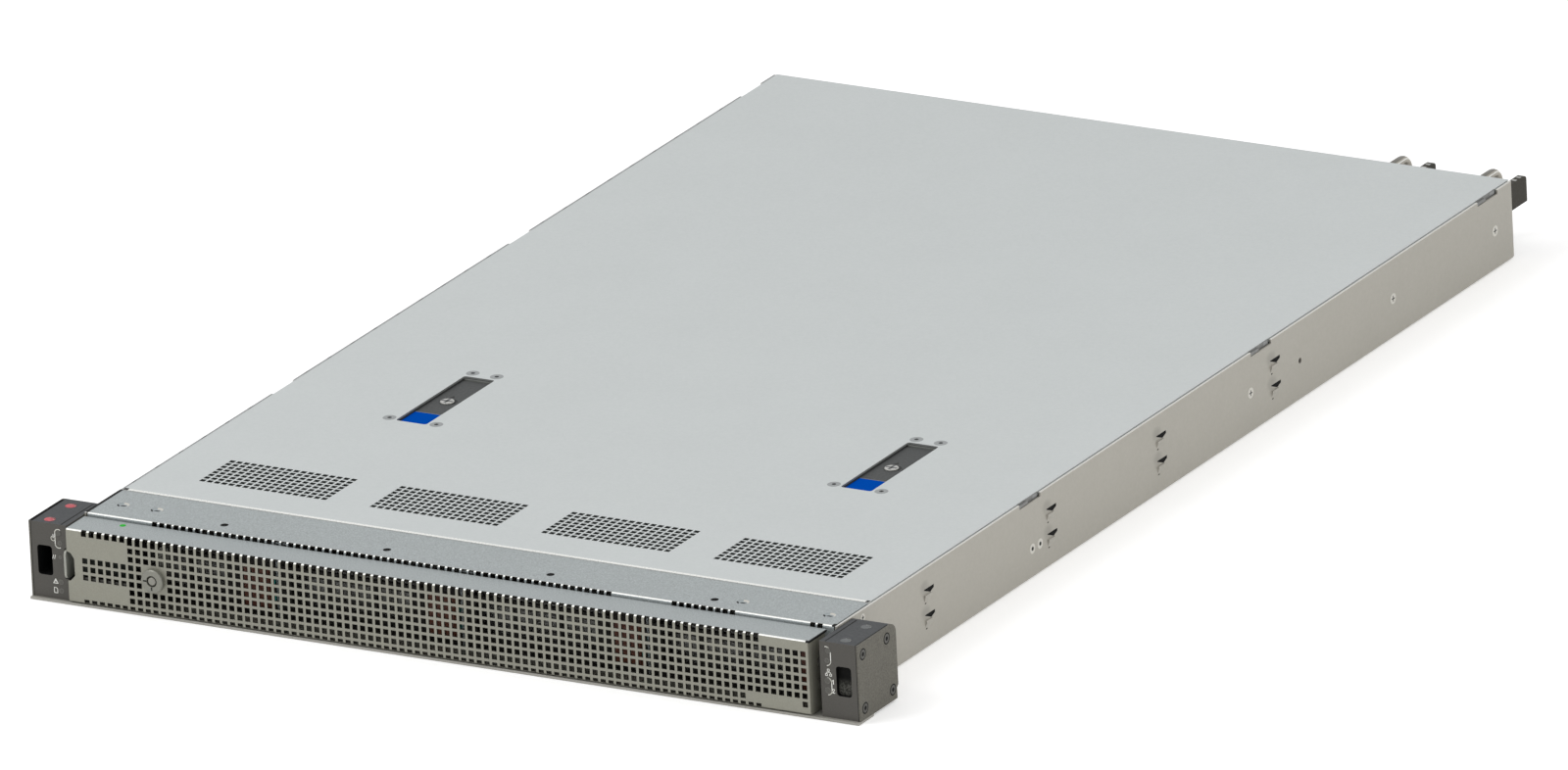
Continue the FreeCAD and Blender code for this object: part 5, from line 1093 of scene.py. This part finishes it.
BAR_HALF = 2.0                # half the thickness of a handle's bar
BAR_BEND = 6.0                # radius of its bends, to the middle of the bar
PIN_RADIUS = 1.45
CATCH_CORNER = 2.2
for number in (1, 2):
    word = "psu_%d_" % number
    (x0, y0, z0), (x1, y1, z1) = box_mm(word + "handle")
    x = (x0 + x1) / 2
    low, high, middle_y = z0 + BAR_HALF, z1 - BAR_HALF, y1 - BAR_HALF - BAR_BEND
    path = ([(y0 + 0.1, low)] + arc(middle_y, low + BAR_BEND, BAR_BEND, -90, 0)
            + arc(middle_y, high - BAR_BEND, BAR_BEND, 0, 90) + [(y0 + 0.1, high)])
    bail = Mesher()
    # bands round the bar: painted shade on the outer face and a thin painted highlight beside it
    tube(bail, path, 2.9, BAR_HALF - 0.05, x,
         lambda angle: 1 if 195 < angle < 300 else 2 if 318 < angle < 342 else 0, 20)
    for low, high in ((z0 + 3.5, z0 + 7.4), (z1 - 7.4, z1 - 3.5)):
        bail.turned([(0.0, low), (PIN_RADIUS, low), (PIN_RADIUS, high), (0.0, high)],
                    top_view(x, y0 + 2.5, 0), 16)
    mesh = bail.mesh(word + "handle_bar")
    for polygon in mesh.polygons:
        polygon.use_smooth = True
    add_piece(word + "handle_bar", mesh, ["bail_steel", "bail_shade", "painted_highlight"], word + "bail",
              word + "handle")
    (x0, y0, z0), (x1, y1, z1) = box_mm(word + "catch")
    lever = Mesher()
    rounded = arc(y1 - CATCH_CORNER, z1 - CATCH_CORNER, CATCH_CORNER, 0, 90, 6)
    lever.slab([(y0, z0 + 1), (y0 + 1.6, z0), (y1, z0)] + rounded + [(y0, z1)],
               lambda u, v, level: (level, u, v), x0, x1)
    # light grey tops of the ribs: painted highlight
    lever.paint = 1
    for y in (y1 - 4.6, y1 - 9.4):
        lever.box(x0 + 0.7, x1 - 0.7, y - 0.9, y + 0.9, z1 - 0.2, z1 + 0.04)
    add_piece(word + "catch_lever", lever, ["catch_plastic", "highlight_grey"], word + "release",
              word + "catch")

# ------------------------------ camera, light and floor
lens = bpy.data.cameras.new("camera")
lens.sensor_width = 36
lens.lens = 840
lens.clip_start = 0.5
lens.clip_end = 100
camera = add_object("camera", lens)
# the camera's own axes, fitted to the photo
RIGHT = Vector((0.870393, 0.490194, -0.046101)).normalized()
UP = Vector((-0.129479, 0.318227, 0.939131))
BACK = RIGHT.cross(UP).normalized()
UP = BACK.cross(RIGHT)
turn = Matrix((RIGHT, UP, BACK)).transposed().to_4x4()
camera.matrix_world = Matrix.Translation((8.89843, -14.84815, 6.40618)) @ turn
bpy.context.scene.camera = camera

WHITE = [1, 1, 1, 1]
FLOOR_HALF = 30.0             # metres
FLOOR_DROP = 0.0002


def floor_material():
    """Pale paper that keeps the shadow and looks nearly white to the camera and in reflections."""
    g = Paint("floor_paper")
    ray = g.add("ShaderNodeLightPath").outputs
    seen = g.math("MAXIMUM", ray["Is Camera Ray"], ray["Is Glossy Ray"])
    g.fill(g.shader, Base_Color=g.mix(g.ramp(g.noise(300.0), 0, 1), shade(WHITE, 0.95), shade(WHITE, 0.97)),
           Roughness=0.9, Emission_Color=WHITE, Emission_Strength=g.ramp(seen, 0.0, 0.36, 0.0, 1.0))
    return g.material


floor_mesh = bpy.data.meshes.new("floor")
floor_mesh.from_pydata([(x * FLOOR_HALF, y * FLOOR_HALF, -FLOOR_DROP)
                        for x, y in ((-1, -1), (1, -1), (1, 1), (-1, 1))], [], [(0, 1, 2, 3)])
floor_mesh.materials.append(floor_material())
add_object("floor", floor_mesh)


def white_world(strength):
    """Soft light from all round; the camera, reflections and see-through parts see plain white."""
    world = bpy.data.worlds.new("world")
    bpy.context.scene.world = world
    g = Graph(world)
    sky, white = g.tree.nodes["Background"], g.add("ShaderNodeBackground")
    g.fill(sky, Color=WHITE, Strength=strength)
    g.fill(white, Color=WHITE, Strength=1.0)
    ray = g.add("ShaderNodeLightPath").outputs
    seen = g.math("MAXIMUM", ray["Is Camera Ray"], ray["Is Glossy Ray"])
    seen = g.math("MAXIMUM", seen, ray["Is Transmission Ray"])
    mixer = g.add("ShaderNodeMixShader")
    for socket, value in zip(mixer.inputs, (seen, sky.outputs[0], white.outputs[0])):
        g.put(socket, value)
    g.fill(g.tree.nodes["World Output"], Surface=mixer.outputs["Shader"])


def area_light(name, place, aim, size, power, colour=(1, 1, 1)):
    data = bpy.data.lights.new(name, "AREA")
    data.shape = "RECTANGLE"
    data.size, data.size_y = size
    data.energy = power
    data.color = colour
    obj = add_object(name, data)
    obj.location = place
    obj.rotation_euler = (Vector(aim) - Vector(place)).to_track_quat("-Z", "Y").to_euler()


white_world(0.62)
MIDDLE = (0, 0.35, 0)
area_light("key", (-1.6, -1.4, 2.6), MIDDLE, (1.8, 1.8), 34)
area_light("side", (2.6, 0.2, 1.2), MIDDLE, (1.6, 1.2), 12, (1.0, 0.97, 0.92))

bpy.context.scene.view_settings.view_transform = "Standard"
